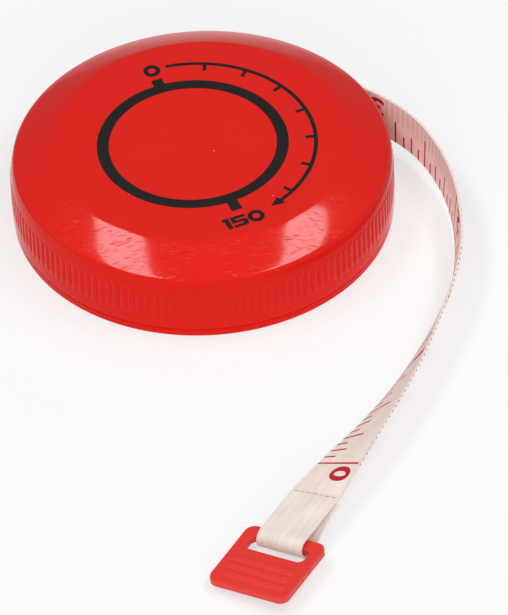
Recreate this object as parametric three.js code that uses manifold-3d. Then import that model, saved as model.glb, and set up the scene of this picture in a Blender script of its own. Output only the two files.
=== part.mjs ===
// Pocket tape measure: a woven tape on a spring reel in a round ribbed case.
// Millimetres, +Z up. The origin is the middle of the underside of the case.
import * as THREE from 'three';
import { mergeVertices } from 'three/addons/utils/BufferGeometryUtils.js';
import Module from 'manifold-3d';

const wasm = await Module();
wasm.setup();

// Tape
const TAPE_WIDTH = 6.7;
const TAPE_THICKNESS = 0.35;
const WOUND_LENGTH = 1400; // what is left on the reel of the 1.5 m

// Clearances
const RUN = 0.3; // between pieces that move past each other
const SEAT = 0.1; // between pieces that are fixed together
const TAPE_PLAY = 0.25; // from each edge of the tape to its flange

// Case shells
const CASE_RADIUS = 25.5; // over the grip ribs
const RIB_COUNT = 144;
const RIB_DEPTH = 0.4;
const RIB_TOP_BELOW_RIM = 2.2;
const RIB_FOOT_ABOVE_SEAM = 1.5;
const RIB_END_SLOPE = 0.4; // height over which each rib runs out
const SHELL_WALL = 1.2;
const TOP_FLAT_RADIUS = 19.8;
const SHOULDER_DROP = 2.5;
const RIM_FILLET = 0.6;
const TOP_FILLET = 1.5;
const SEAM_HEIGHT = 1.2;
const LIP_INSET = 0.1; // the lower shell stands in from the wall above it
const FOOT_FILLET = 0.25;
const BASE_PLATE = 0.9;
const SPIGOT_HEIGHT = 1.3;
const SPIGOT_WALL = 0.8;
const EXIT_ANGLE = 33.2; // degrees round the case where the tape leaves it
const EXIT_PLAY = 0.35; // each side of the tape in its slot
const EXIT_GAP_ANGLES = [8, 62]; // degrees round the case that the spigot leaves open for the tape

// Reel
const FLANGE_THICKNESS = 0.5;
const FLANGE_TO_WALL = 3.4; // room for the loose outer turn
const DRUM_WALL = 1;
const WEB_THICKNESS = 0.9;
const WEB_ABOVE_BUTTON = 0.35;
const TRACK_INNER_RADIUS = 7;
const TRACK_SPIGOT_HEIGHT = 1;
const TRACK_SPIGOT_WALL = 0.8;
const COVER_THICKNESS = 0.5;
const COVER_HEADROOM = 0.75;

// Centre post and mainspring
const POST_RADIUS = 2.8;
const POST_SLOT = 0.6;
const MAINSPRING_THICKNESS = 0.2;
const MAINSPRING_TURNS = 7;
const HOOK_DEPTH = 0.5; // how far the outer hook of the spring reaches into the drum

// Release button and brake
const BUTTON_RADIUS = 5;
const BUTTON_FILLET = 0.3;
const BUTTON_RECESS = 0.35; // below the underside, so that it clears a table
const BUTTON_TRAVEL = 1.2;
const BUTTON_FLANGE_RADIUS = 12.2;
const BUTTON_FLANGE_THICKNESS = 0.7;
const BUTTON_FLOOR = 1;
const KEY_WIDTH = 1.6;
const COLLAR_WALL = 1;
const FINGER_DISH_DEPTH = 0.4;
const FINGER_DISH_WIDTH = 2.5;
const BRAKE_INNER_RADIUS = 8.2;
const BRAKE_OUTER_RADIUS = 11.8;
const BRAKE_THICKNESS = 0.6;
const BRAKE_CLEARANCE = 1.3; // round the brake, to the spigot of the reel's lower flange
const COIL_RADIUS = 2.2; // to the middle of the wire
const COIL_WIRE = 0.35;
const COIL_TURNS = 4;
const COIL_PEG_LENGTH = 1;

// Pull tab, in its own frame: x along the bar, y towards the tape, z up, origin on the bar
const BAR_FROM_EXIT = [-12, -81.1]; // where the tab lies, in x and y from the tape's exit
const BAR_HEIGHT = 1.8;
const TAB_TURN = -31.3; // degrees
const TAB_ROLL = -5.6; // degrees, because the tape still leans a little where it is sewn
const TAB_WIDTH = 11.4;
const TAB_THICKNESS = 1;
const TAB_FRONT = 10.5; // from the middle of the bar to the front edge
const TAB_CORNER = 1.3;
const TAB_BEVEL = 0.35;
const BAR_WIDTH = 1.8; // the bar is the strip of plate behind the slot
const SLOT_LENGTH = 8.6;
const SLOT_WIDTH = 2.6;
const SLOT_CORNER = 0.9;
const RIDGE_COUNT = 3;
const RIDGE_PITCH = 1.55;
const RIDGE_FIRST = 5.55; // from the middle of the bar
const RIDGE_LENGTH = 8.8;
const RIDGE_RADIUS = 0.45;
const RIDGE_HEIGHT = 0.22;

// Folded and sewn end of the tape round the bar
const LOOP_PLAY = 0.15;
const LOOP_SLACK = 0.7; // the fold hangs this far forward of the bar
const LOOP_LENGTH = 8.1; // from the bar to the seam
const LOOP_RISE = 0.35; // of the seam over the fold
const LOOP_OFFSET = -0.2; // sideways on the bar
const LOOP_DRIFT = 0.15; // sideways between the bar and the seam
const LOOP_TILT = 1.4; // degrees, at the seam
const SEWN_LENGTH = 2.3; // over which the two layers lie together
const EYE_END_DEPTH = 0.5; // below the top of the seam
const EYE_END_HEIGHT = 0.1;

// The free tape, from the loose turn inside the case to the sewn end: the middle of the
// tape in x and y from its exit, its height, and its lean in degrees from upright to flat.
const TAPE_ROUTE = [
  [-22.5, 6.5, 5.3, 0],
  [-15.3, 6.6, 5.3, 0],
  [-9.9, 5.2, 5.3, 0],
  [-5.6, 3.3, 5.3, 0],
  [-2.0, 1.2, 5.3, 0],
  [0, 0, 5.3, 1],
  [3.4, -2.4, 5.3, 1],
  [7.7, -7.0, 5.2, 1],
  [10.6, -12.5, 4.9, 2],
  [12.3, -18.6, 4.5, 4],
  [12.8, -25.0, 4.0, 7],
  [12.3, -31.3, 3.6, 12],
  [10.7, -37.4, 3.4, 18],
  [8.4, -43.4, 3.2, 25],
  [5.9, -49.2, 3.0, 32],
  [3.2, -54.9, 3.0, 41],
  [0.2, -60.5, 3.1, 51],
  [-3.0, -65.9, 3.2, 64],
  [-6.3, -71.3, 3.3, 77],
  [-7.8, -73.8, 3.35, 83],
];
const ROUTE_STEPS = 72;

// Facets
const CASE_STEPS = 72;
const INNER_STEPS = 48;
const POST_STEPS = 24;

// Heights, from the underside up
const flangeLow = BASE_PLATE + RUN;
const trackTop = flangeLow + FLANGE_THICKNESS;
const tapeLow = trackTop + TAPE_PLAY;
const tapeTop = tapeLow + TAPE_WIDTH;
const flangeHigh = tapeTop + TAPE_PLAY;
const drumTop = flangeHigh + FLANGE_THICKNESS;
const coverLow = drumTop + SEAT;
const ceiling = coverLow + COVER_THICKNESS + COVER_HEADROOM;
const caseHeight = ceiling + SHELL_WALL;
const rimHeight = caseHeight - SHOULDER_DROP;
const brakeLow = trackTop + RUN;
const buttonFlangeLow = brakeLow + BRAKE_THICKNESS + SEAT;
const buttonTop = buttonFlangeLow + BUTTON_FLANGE_THICKNESS;
const webLow = buttonTop + BUTTON_TRAVEL + WEB_ABOVE_BUTTON;
const webTop = webLow + WEB_THICKNESS;
const postEnd = webLow - RUN;

// Radii, from the outside in
const wallRadius = CASE_RADIUS - RIB_DEPTH;
const wallInner = wallRadius - SHELL_WALL;
const flangeRadius = wallInner - FLANGE_TO_WALL;
const exitRadius = (wallInner + CASE_RADIUS) / 2;
const trackSpigotInner = BRAKE_OUTER_RADIUS + BRAKE_CLEARANCE;
const trackSpigotRadius = trackSpigotInner + TRACK_SPIGOT_WALL;
const drumInner = trackSpigotRadius + SEAT;
const drumRadius = drumInner + DRUM_WALL;
const woundRadius = Math.sqrt(drumRadius ** 2 + (WOUND_LENGTH * TAPE_THICKNESS) / Math.PI);
const boreRadius = POST_RADIUS + RUN;
const holeRadius = BUTTON_RADIUS + RUN;
const barSwing = Math.hypot(BAR_WIDTH / 2, TAB_THICKNESS / 2 - TAB_BEVEL);

// Geometry helpers

// A closed geometry as a solid, with shared corners merged and faces pointing out.
function solid(geometry) {
  const bare = geometry.clone();
  bare.deleteAttribute('normal');
  bare.deleteAttribute('uv');
  const merged = mergeVertices(bare, 1e-4);
  const places = merged.getAttribute('position').array;
  const triangles = [];
  for (let i = 0; i < merged.index.count; i += 3) {
    const [a, b, c] = merged.index.array.slice(i, i + 3);
    if (a !== b && b !== c && c !== a) triangles.push([a, b, c]);
  }
  const corner = (i) => new THREE.Vector3().fromArray(places, 3 * i);
  const volume = triangles.reduce(
    (sum, [a, b, c]) => sum + corner(a).dot(corner(b).cross(corner(c))), 0);
  const outward = volume > 0 ? triangles : triangles.map(([a, b, c]) => [a, c, b]);
  return new wasm.Manifold(new wasm.Mesh({
    numProp: 3,
    vertProperties: Float32Array.from(places),
    triVerts: Uint32Array.from(outward.flat()),
  }));
}

function geometryOf(body) {
  const { vertProperties, triVerts } = body.getMesh();
  const geometry = new THREE.BufferGeometry();
  geometry.setAttribute('position', new THREE.BufferAttribute(Float32Array.from(vertProperties), 3));
  geometry.setIndex(new THREE.BufferAttribute(Uint32Array.from(triVerts), 1));
  geometry.computeVertexNormals();
  return geometry;
}

// A profile of [radius, height, fillet] turned about Z. The fillet may be left out.
function turned(profile, steps = INNER_STEPS) {
  const points = filleted(profile).map(([r, z]) => new THREE.Vector2(r, z));
  return solid(new THREE.LatheGeometry(points, steps).rotateX(Math.PI / 2));
}

// A profile that closes on itself, such as a ring's.
function turnedRing(profile, steps) {
  return turned([...profile, profile[0]], steps);
}

// Swaps each corner that has a fillet for a short arc that meets both of its sides.
function filleted(profile, arcSteps = 3) {
  return profile.flatMap(([r, z, fillet], i) => {
    if (!fillet) return [[r, z]];
    const here = new THREE.Vector2(r, z);
    const before = new THREE.Vector2(...profile[i - 1].slice(0, 2)).sub(here).normalize();
    const after = new THREE.Vector2(...profile[i + 1].slice(0, 2)).sub(here).normalize();
    const half = Math.acos(THREE.MathUtils.clamp(before.dot(after), -1, 1)) / 2;
    const reach = fillet / Math.tan(half);
    const start = here.clone().addScaledVector(before, reach);
    const end = here.clone().addScaledVector(after, reach);
    const arc = new THREE.QuadraticBezierCurve(start, here, end);
    return arc.getPoints(arcSteps).map((p) => [p.x, p.y]);
  });
}

// A closed skin over a row of like sections, each a ring of corners.
function lofted(sections) {
  const sides = sections[0].length;
  const places = sections.flat().flatMap((p) => p.toArray());
  const triangles = [];
  for (let i = 0; i + 1 < sections.length; i += 1) {
    for (let j = 0; j < sides; j += 1) {
      const a = i * sides + j;
      const b = i * sides + ((j + 1) % sides);
      triangles.push(a, b, a + sides, b, b + sides, a + sides);
    }
  }
  const last = (sections.length - 1) * sides;
  for (let j = 1; j + 1 < sides; j += 1) {
    triangles.push(0, j + 1, j, last, last + j, last + j + 1);
  }
  const geometry = new THREE.BufferGeometry();
  geometry.setAttribute('position', new THREE.Float32BufferAttribute(places, 3));
  geometry.setIndex(triangles);
  return solid(geometry);
}

// A box with its middle at a point, turned about Z.
function block(size, middle, turn = 0) {
  const geometry = new THREE.BoxGeometry(...size).rotateZ(turn);
  return solid(geometry.translate(...middle));
}

// An annular sector between two angles in degrees and two heights.
function sector(inner, outer, [from, to], low, high) {
  const [start, end] = [from, to].map(THREE.MathUtils.degToRad);
  const shape = new THREE.Shape();
  shape.absarc(0, 0, outer, start, end, false);
  shape.absarc(0, 0, inner, end, start, true);
  const options = { depth: high - low, bevelEnabled: false, curveSegments: 12 };
  return solid(new THREE.ExtrudeGeometry(shape, options).translate(0, 0, low));
}

// Route of the tape

// The middle of the tape's slot, in the wall of the case.
const exitPlace = new THREE.Vector2(exitRadius, 0)
  .rotateAround(new THREE.Vector2(), THREE.MathUtils.degToRad(EXIT_ANGLE));

const fromExit = ([x, y], z) => new THREE.Vector3(exitPlace.x + x, exitPlace.y + y, z);

const routeCurve = new THREE.CatmullRomCurve3(
  TAPE_ROUTE.map(([x, y, z]) => fromExit([x, y], z)), false, 'centripetal');
const exitShare = TAPE_ROUTE.findIndex(([x, y]) => x === 0 && y === 0) / (TAPE_ROUTE.length - 1);

// The lean at a share of the route's points, in radians.
function leanAt(share) {
  const step = share * (TAPE_ROUTE.length - 1);
  const i = Math.min(Math.floor(step), TAPE_ROUTE.length - 2);
  const lean = THREE.MathUtils.lerp(TAPE_ROUTE[i][3], TAPE_ROUTE[i + 1][3], step - i);
  return THREE.MathUtils.degToRad(lean);
}

// Along the tape, across it to its upper edge, and out of its printed face.
function tapeFrame(share) {
  const along = routeCurve.getTangent(share);
  const side = new THREE.Vector3(0, 0, 1).cross(along).normalize();
  const up = along.clone().cross(side);
  const lean = leanAt(share);
  const across = up.multiplyScalar(Math.cos(lean)).addScaledVector(side, Math.sin(lean));
  return { along, across, face: along.clone().cross(across) };
}

// Case

// Broad ribs round the grip wall, each running out at its top and its foot.
function gripRibs() {
  const low = SEAM_HEIGHT + RIB_FOOT_ABOVE_SEAM;
  const high = rimHeight - RIB_TOP_BELOW_RIM + RIB_END_SLOPE;
  const inner = wallRadius - SHELL_WALL / 2;
  const outline = [];
  for (let i = 0; i < RIB_COUNT; i += 1) {
    for (const [share, radius] of [[0, wallRadius], [0.2, CASE_RADIUS], [0.8, CASE_RADIUS]]) {
      const angle = (2 * Math.PI * (i + share)) / RIB_COUNT;
      outline.push(new THREE.Vector2(Math.cos(angle), Math.sin(angle)).multiplyScalar(radius));
    }
  }
  const shape = new THREE.Shape(outline);
  shape.holes.push(new THREE.Path().absarc(0, 0, inner, 0, 2 * Math.PI, true));
  const options = { depth: high - low, bevelEnabled: false, curveSegments: INNER_STEPS };
  const ribs = solid(new THREE.ExtrudeGeometry(shape, options).translate(0, 0, low));
  const runOut = turnedRing([
    [inner - SEAT, low],
    [wallRadius - SEAT, low],
    [CASE_RADIUS + SEAT, low + RIB_END_SLOPE],
    [CASE_RADIUS + SEAT, high - RIB_END_SLOPE],
    [wallRadius - SEAT, high],
    [inner - SEAT, high],
  ], RIB_COUNT);
  return ribs.intersect(runOut);
}

// The slot that the tape leaves by, open at the seam between the shells.
function exitSlot() {
  const { along } = tapeFrame(exitShare);
  const low = SEAM_HEIGHT - SHELL_WALL;
  const high = tapeTop + EXIT_PLAY;
  const reach = 6 * SHELL_WALL;
  return block([reach, TAPE_THICKNESS + 2 * EXIT_PLAY, high - low],
    [exitPlace.x, exitPlace.y, (low + high) / 2], Math.atan2(along.y, along.x));
}

function caseTop() {
  const shoulderWall = SHELL_WALL / Math.cos(Math.atan2(SHOULDER_DROP, wallRadius - TOP_FLAT_RADIUS));
  const shoulderSlope = SHOULDER_DROP / (wallRadius - TOP_FLAT_RADIUS);
  const rimInside = caseHeight - shoulderWall - (wallInner - TOP_FLAT_RADIUS) * shoulderSlope;
  const flatInside = TOP_FLAT_RADIUS - (shoulderWall - SHELL_WALL) / shoulderSlope;
  const outside = turned([
    [0, caseHeight],
    [TOP_FLAT_RADIUS, caseHeight, TOP_FILLET],
    [wallRadius, rimHeight, RIM_FILLET],
    [wallRadius, SEAM_HEIGHT],
    [0, SEAM_HEIGHT],
  ], CASE_STEPS);
  const hollow = turned([
    [0, ceiling],
    [flatInside, ceiling],
    [wallInner, rimInside],
    [wallInner, SEAM_HEIGHT - SHELL_WALL],
    [0, SEAM_HEIGHT - SHELL_WALL],
  ]);
  const pegRadius = COIL_RADIUS - COIL_WIRE;
  const pegEnd = postEnd - COIL_PEG_LENGTH;
  const post = turned([
    [0, ceiling + SHELL_WALL / 2],
    [POST_RADIUS, ceiling + SHELL_WALL / 2],
    [POST_RADIUS, postEnd],
    [pegRadius, postEnd],
    [pegRadius, pegEnd],
    [0, pegEnd],
  ], POST_STEPS);
  const springSlot = block([2 * POST_RADIUS + RUN, POST_SLOT, ceiling - webTop],
    [0, 0, (ceiling + webTop) / 2]);
  return outside.add(gripRibs()).subtract(hollow).add(post).subtract(springSlot).subtract(exitSlot());
}

function caseBottom() {
  const lipRadius = wallRadius - LIP_INSET;
  const spigotRadius = wallInner - SEAT;
  const spigotTop = SEAM_HEIGHT + SPIGOT_HEIGHT;
  const seam = SEAM_HEIGHT - SEAT;
  const collarTop = buttonFlangeLow - RUN;
  const shell = turnedRing([
    [holeRadius + FINGER_DISH_WIDTH, 0],
    [lipRadius, 0, FOOT_FILLET],
    [lipRadius, seam],
    [spigotRadius, seam],
    [spigotRadius, spigotTop],
    [spigotRadius - SPIGOT_WALL, spigotTop],
    [spigotRadius - SPIGOT_WALL, BASE_PLATE],
    [holeRadius + COLLAR_WALL, BASE_PLATE],
    [holeRadius + COLLAR_WALL, collarTop],
    [holeRadius, collarTop],
    [holeRadius, FINGER_DISH_DEPTH],
  ], CASE_STEPS);
  const keySlots = block([2 * (holeRadius + 2 * COLLAR_WALL), KEY_WIDTH + 2 * RUN, collarTop],
    [0, 0, collarTop / 2 + BASE_PLATE]);
  const tapeGap = sector(spigotRadius - 2 * SPIGOT_WALL, wallRadius, EXIT_GAP_ANGLES,
    seam, spigotTop + SEAT);
  return shell.subtract(keySlots).subtract(tapeGap);
}

// Reel

function reelDrum() {
  const drum = turnedRing([
    [boreRadius, webLow],
    [drumInner, webLow],
    [drumInner, trackTop + SEAT],
    [drumRadius, trackTop + SEAT],
    [drumRadius, flangeHigh],
    [flangeRadius, flangeHigh],
    [flangeRadius, drumTop],
    [drumInner, drumTop],
    [drumInner, webTop],
    [boreRadius, webTop],
  ]);
  return drum.subtract(hookNotch());
}

// The notch in the drum that takes the outer hook of the mainspring.
function hookNotch() {
  const depth = HOOK_DEPTH + SEAT;
  return block([2 * depth, MAINSPRING_THICKNESS + 2 * RUN, drumTop - webTop + 2 * SEAT],
    [drumInner, 0, (drumTop + webTop) / 2 + SEAT]);
}

// The lower flange, whose inner part is the track that the brake presses on.
function reelFlange() {
  return turnedRing([
    [TRACK_INNER_RADIUS, flangeLow],
    [flangeRadius, flangeLow],
    [flangeRadius, trackTop],
    [trackSpigotRadius, trackTop],
    [trackSpigotRadius, trackTop + TRACK_SPIGOT_HEIGHT],
    [trackSpigotInner, trackTop + TRACK_SPIGOT_HEIGHT],
    [trackSpigotInner, trackTop],
    [TRACK_INNER_RADIUS, trackTop],
  ]);
}

function ring(inner, outer, low, high) {
  return turnedRing([[inner, low], [outer, low], [outer, high], [inner, high]]);
}

const springCover = () =>
  ring(boreRadius, drumRadius, coverLow, coverLow + COVER_THICKNESS);
const woundTape = () => ring(drumRadius + SEAT, woundRadius, tapeLow, tapeTop);

// A flat spiral strip from the slot in the post out to the notch in the drum.
function mainspring() {
  const stepsPerTurn = 16;
  const steps = MAINSPRING_TURNS * stepsPerTurn;
  const inner = POST_RADIUS + MAINSPRING_THICKNESS + SEAT;
  const outer = drumInner - MAINSPRING_THICKNESS - SEAT;
  const low = webTop + TAPE_PLAY;
  const high = drumTop - TAPE_PLAY;
  const half = MAINSPRING_THICKNESS / 2;
  const section = (x, y, nx, ny) => [
    new THREE.Vector3(x - nx * half, y - ny * half, low),
    new THREE.Vector3(x + nx * half, y + ny * half, low),
    new THREE.Vector3(x + nx * half, y + ny * half, high),
    new THREE.Vector3(x - nx * half, y - ny * half, high),
  ];
  const sections = [section(POST_RADIUS / 3, 0, 0, -1), section(POST_RADIUS, 0, 0, -1)];
  for (let i = 1; i < steps; i += 1) {
    const angle = (2 * Math.PI * i) / stepsPerTurn;
    const radius = inner + ((outer - inner) * i) / steps;
    const [x, y] = [Math.cos(angle), Math.sin(angle)];
    sections.push(section(radius * x, radius * y, x, y));
  }
  sections.push(section(outer, 0, Math.SQRT1_2, Math.SQRT1_2));
  sections.push(section(drumInner + HOOK_DEPTH, 0, 0, 1));
  return lofted(sections);
}

// Button and brake

function releaseButton() {
  const cupRadius = COIL_RADIUS + COIL_WIRE + RUN;
  const cupFloor = BUTTON_RECESS + BUTTON_FLOOR;
  const button = turned([
    [0, BUTTON_RECESS],
    [BUTTON_RADIUS, BUTTON_RECESS, BUTTON_FILLET],
    [BUTTON_RADIUS, buttonFlangeLow],
    [BUTTON_FLANGE_RADIUS, buttonFlangeLow],
    [BUTTON_FLANGE_RADIUS, buttonTop],
    [cupRadius, buttonTop],
    [cupRadius, cupFloor],
    [0, cupFloor],
  ]);
  const keyLow = BASE_PLATE + RUN;
  const keyReach = 2 * (holeRadius + COLLAR_WALL - RUN);
  const keys = block([keyReach, KEY_WIDTH, buttonTop - keyLow], [0, 0, (buttonTop + keyLow) / 2]);
  const cup = ring(0, cupRadius, cupFloor, buttonTop + SEAT);
  return button.add(keys).subtract(cup);
}

const brakeRing = () =>
  ring(BRAKE_INNER_RADIUS, BRAKE_OUTER_RADIUS, brakeLow, brakeLow + BRAKE_THICKNESS);

// A coil spring between the floor of the button's cup and the end of the post.
function buttonSpring() {
  const stepsPerTurn = 12;
  const sides = 5;
  const half = COIL_WIRE / 2;
  const low = BUTTON_RECESS + BUTTON_FLOOR + SEAT + half;
  const high = postEnd - SEAT - half;
  const steps = COIL_TURNS * stepsPerTurn;
  const sections = [];
  for (let i = 0; i <= steps; i += 1) {
    const angle = (2 * Math.PI * i) / stepsPerTurn;
    const middle = low + ((high - low) * i) / steps;
    const section = [];
    for (let j = 0; j < sides; j += 1) {
      const turn = (2 * Math.PI * j) / sides;
      const radius = COIL_RADIUS + half * Math.cos(turn);
      section.push(new THREE.Vector3(
        radius * Math.cos(angle), radius * Math.sin(angle), middle + half * Math.sin(turn)));
    }
    sections.push(section);
  }
  return lofted(sections);
}

// Free tape, sewn loop and pull tab

function freeTape() {
  const sections = [];
  for (let i = 0; i <= ROUTE_STEPS; i += 1) {
    const share = i / ROUTE_STEPS;
    const middle = routeCurve.getPoint(share);
    const { across, face } = tapeFrame(share);
    const corner = (a, b) => middle.clone()
      .addScaledVector(across, (a * TAPE_WIDTH) / 2)
      .addScaledVector(face, (b * TAPE_THICKNESS) / 2);
    sections.push([corner(-1, -1), corner(1, -1), corner(1, 1), corner(-1, 1)]);
  }
  return lofted(sections);
}

// The end of the tape, folded round the bar and sewn back on itself: a band whose
// outline is drawn in the y and z of the tab's frame, and which then drifts and
// tilts towards the seam as the tape above it does.
function endLoop() {
  const inner = barSwing + LOOP_PLAY;
  const outer = inner + TAPE_THICKNESS;
  const seamTop = inner + LOOP_RISE + TAPE_THICKNESS;
  const outline = (path, radius, tail, top, bottom) => {
    path.moveTo(tail, top);
    path.bezierCurveTo(tail / 2, top, tail / 4, radius, 0, radius);
    path.bezierCurveTo(-radius - LOOP_SLACK, radius, -radius - LOOP_SLACK, -radius, 0, -radius);
    path.bezierCurveTo(tail / 3, -radius, tail / 2, bottom, tail, bottom);
    path.closePath();
    return path;
  };
  const underSeam = seamTop - 2 * TAPE_THICKNESS;
  const band = outline(new THREE.Shape(), outer, LOOP_LENGTH, seamTop, underSeam);
  const eyeTop = seamTop - EYE_END_DEPTH;
  band.holes.push(outline(new THREE.Path(), inner, LOOP_LENGTH - SEWN_LENGTH,
    eyeTop, eyeTop - EYE_END_HEIGHT));
  const options = { depth: TAPE_WIDTH, bevelEnabled: false, curveSegments: 10 };
  const geometry = new THREE.ExtrudeGeometry(band, options);
  const places = geometry.getAttribute('position');
  const tilt = Math.tan(THREE.MathUtils.degToRad(LOOP_TILT));
  for (let i = 0; i < places.count; i += 1) {
    const [y, z, x] = [places.getX(i), places.getY(i), places.getZ(i) - TAPE_WIDTH / 2];
    const share = Math.max(0, y / LOOP_LENGTH);
    places.setXYZ(i, x + LOOP_OFFSET + LOOP_DRIFT * share, y, z + x * tilt * share ** 2);
  }
  return solid(geometry);
}

function roundedBox(path, left, right, front, rear, corner) {
  path.moveTo(left + corner, front);
  path.absarc(right - corner, front + corner, corner, -Math.PI / 2, 0, false);
  path.absarc(right - corner, rear - corner, corner, 0, Math.PI / 2, false);
  path.absarc(left + corner, rear - corner, corner, Math.PI / 2, Math.PI, false);
  path.absarc(left + corner, front + corner, corner, Math.PI, 1.5 * Math.PI, false);
  return path;
}

// A plate with a slot, behind which a flat bar is left, and low ridges to grip.
function pullTab() {
  const half = TAB_WIDTH / 2 - TAB_BEVEL;
  const rear = BAR_WIDTH / 2 - TAB_BEVEL;
  const slotFront = -BAR_WIDTH / 2 - SLOT_WIDTH - TAB_BEVEL;
  const halfSlot = SLOT_LENGTH / 2 + TAB_BEVEL;
  const shape = roundedBox(new THREE.Shape(), -half, half, TAB_BEVEL - TAB_FRONT, rear,
    TAB_CORNER - TAB_BEVEL);
  shape.holes.push(roundedBox(new THREE.Path(), -halfSlot, halfSlot, slotFront, -rear, SLOT_CORNER));
  const core = TAB_THICKNESS - 2 * TAB_BEVEL;
  let tab = solid(new THREE.ExtrudeGeometry(shape, {
    depth: core, bevelThickness: TAB_BEVEL, bevelSize: TAB_BEVEL, bevelSegments: 2, curveSegments: 6,
  }).translate(0, 0, -core / 2));
  for (let i = 0; i < RIDGE_COUNT; i += 1) {
    const ridge = new THREE.CapsuleGeometry(RIDGE_RADIUS, RIDGE_LENGTH - 2 * RIDGE_RADIUS, 3, 10)
      .rotateZ(Math.PI / 2)
      .translate(0, -RIDGE_FIRST - i * RIDGE_PITCH, TAB_THICKNESS / 2 + RIDGE_HEIGHT - RIDGE_RADIUS);
    tab = tab.add(solid(ridge));
  }
  return tab;
}

// Materials

function finish(color, roughness, metalness = 0) {
  return new THREE.MeshStandardMaterial({ color, roughness, metalness });
}
const redPlastic = finish('#d22a1e', 0.25);
const tabPlastic = finish('#e5392f', 0.4);
const reelPlastic = finish('#e6e3dc', 0.5);
const blackPlastic = finish('#2a2a2c', 0.45);
const rubber = finish('#3a3836', 0.9);
const springSteel = finish('#8d9198', 0.35, 1);
const wovenTape = finish('#e6dacf', 0.85);

// Scene graph

function piece(name, body, material) {
  const mesh = new THREE.Mesh(geometryOf(body), material);
  mesh.name = name;
  return mesh;
}

const caseGroup = new THREE.Group();
caseGroup.add(
  piece('case_top', caseTop(), redPlastic),
  piece('case_bottom', caseBottom(), redPlastic),
);

const reelGroup = new THREE.Group();
reelGroup.add(
  piece('reel', reelDrum(), reelPlastic),
  piece('reel_flange', reelFlange(), reelPlastic),
  piece('spring_cover', springCover(), blackPlastic),
  piece('mainspring', mainspring(), springSteel),
  piece('tape_wound', woundTape(), wovenTape),
);

const buttonGroup = new THREE.Group();
buttonGroup.add(
  piece('release_button', releaseButton(), blackPlastic),
  piece('brake_ring', brakeRing(), rubber),
  piece('button_spring', buttonSpring(), springSteel),
);

const tabGroup = new THREE.Group();
tabGroup.position.copy(fromExit(BAR_FROM_EXIT, BAR_HEIGHT));
tabGroup.rotation.set(
  0, THREE.MathUtils.degToRad(TAB_ROLL), THREE.MathUtils.degToRad(TAB_TURN), 'ZYX');
tabGroup.add(
  piece('pull_tab', pullTab(), tabPlastic),
  piece('tape_end_loop', endLoop(), wovenTape),
);

const tapeMeasure = new THREE.Group();
tapeMeasure.add(caseGroup, reelGroup, buttonGroup, piece('tape_free', freeTape(), wovenTape), tabGroup);

export default tapeMeasure;
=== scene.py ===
# %% [markdown]
# # A pocket tape measure
# A round red case with a ribbed grip holds a woven tape on a spring reel. The tape has been pulled
# out a hand's breadth by its slotted tab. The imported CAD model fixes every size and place. This
# lesson gives each piece its real surface: smooth mouldings, woven cloth and printed ink.

import math

import bpy
import numpy as np
from mathutils import Matrix, Quaternion, Vector


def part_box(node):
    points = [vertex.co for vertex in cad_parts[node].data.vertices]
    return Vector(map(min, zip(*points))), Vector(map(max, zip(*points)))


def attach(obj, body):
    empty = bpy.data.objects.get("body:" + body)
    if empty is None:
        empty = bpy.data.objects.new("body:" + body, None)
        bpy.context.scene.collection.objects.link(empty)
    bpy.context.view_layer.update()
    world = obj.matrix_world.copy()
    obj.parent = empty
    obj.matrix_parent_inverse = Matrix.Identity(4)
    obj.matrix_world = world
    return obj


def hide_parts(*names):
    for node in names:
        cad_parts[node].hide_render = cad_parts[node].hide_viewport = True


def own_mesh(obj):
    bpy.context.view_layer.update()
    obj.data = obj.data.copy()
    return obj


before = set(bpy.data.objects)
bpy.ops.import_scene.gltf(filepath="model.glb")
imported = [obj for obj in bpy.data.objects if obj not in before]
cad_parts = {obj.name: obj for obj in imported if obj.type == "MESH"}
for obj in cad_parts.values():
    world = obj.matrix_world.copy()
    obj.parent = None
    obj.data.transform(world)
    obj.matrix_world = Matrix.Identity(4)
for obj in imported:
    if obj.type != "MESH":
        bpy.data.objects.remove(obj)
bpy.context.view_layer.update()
MM = 0.001

# %% [markdown]
# ## Camera
# The photograph was taken from far off with a long lens, so that the case hardly narrows towards
# the back. A camera is placed by where it looks, how far away it is, how high it stands and how much
# it is tilted sideways. The lens then follows from the size of the object in the picture.

# %% Camera
AIM = Vector((5.97, -20.2, 0)) * MM
CAMERA_DISTANCE = 1.852
CAMERA_AZIMUTH = math.radians(-0.26)
CAMERA_ELEVATION = math.radians(42.25)
CAMERA_ROLL = math.radians(-2.63)
FOCAL_LENGTH_PIXELS = 14027
IMAGE_HEIGHT = 615

backwards = Vector((
    math.sin(CAMERA_AZIMUTH) * math.cos(CAMERA_ELEVATION),
    -math.cos(CAMERA_AZIMUTH) * math.cos(CAMERA_ELEVATION),
    math.sin(CAMERA_ELEVATION),
))
bpy.ops.object.select_all(action="DESELECT")
bpy.ops.object.camera_add(location=AIM + backwards * CAMERA_DISTANCE)
camera = bpy.context.object
camera.rotation_mode = "QUATERNION"
camera.rotation_quaternion = (-backwards).to_track_quat("-Z", "Y") @ Quaternion((0, 0, 1), CAMERA_ROLL)
camera.data.lens = FOCAL_LENGTH_PIXELS * camera.data.sensor_width / IMAGE_HEIGHT
bpy.context.scene.camera = camera
print("camera lens in mm:", round(camera.data.lens))

# %% [markdown]
# ## Working habits
# Small things are easier to model large: merge distances, bevels and voxels all behave at a size of
# a few units. So every piece is modelled with one unit to the millimetre, and its last step scales
# it to metres. These helpers do what the hand does again and again: select, apply a modifier, add a
# block, join pieces and cut one with another.

# %% Helpers for modelling
def select_only(*objects):
    bpy.ops.object.select_all(action="DESELECT")
    for each in objects:
        each.select_set(True)
    bpy.context.view_layer.objects.active = objects[0]


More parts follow.
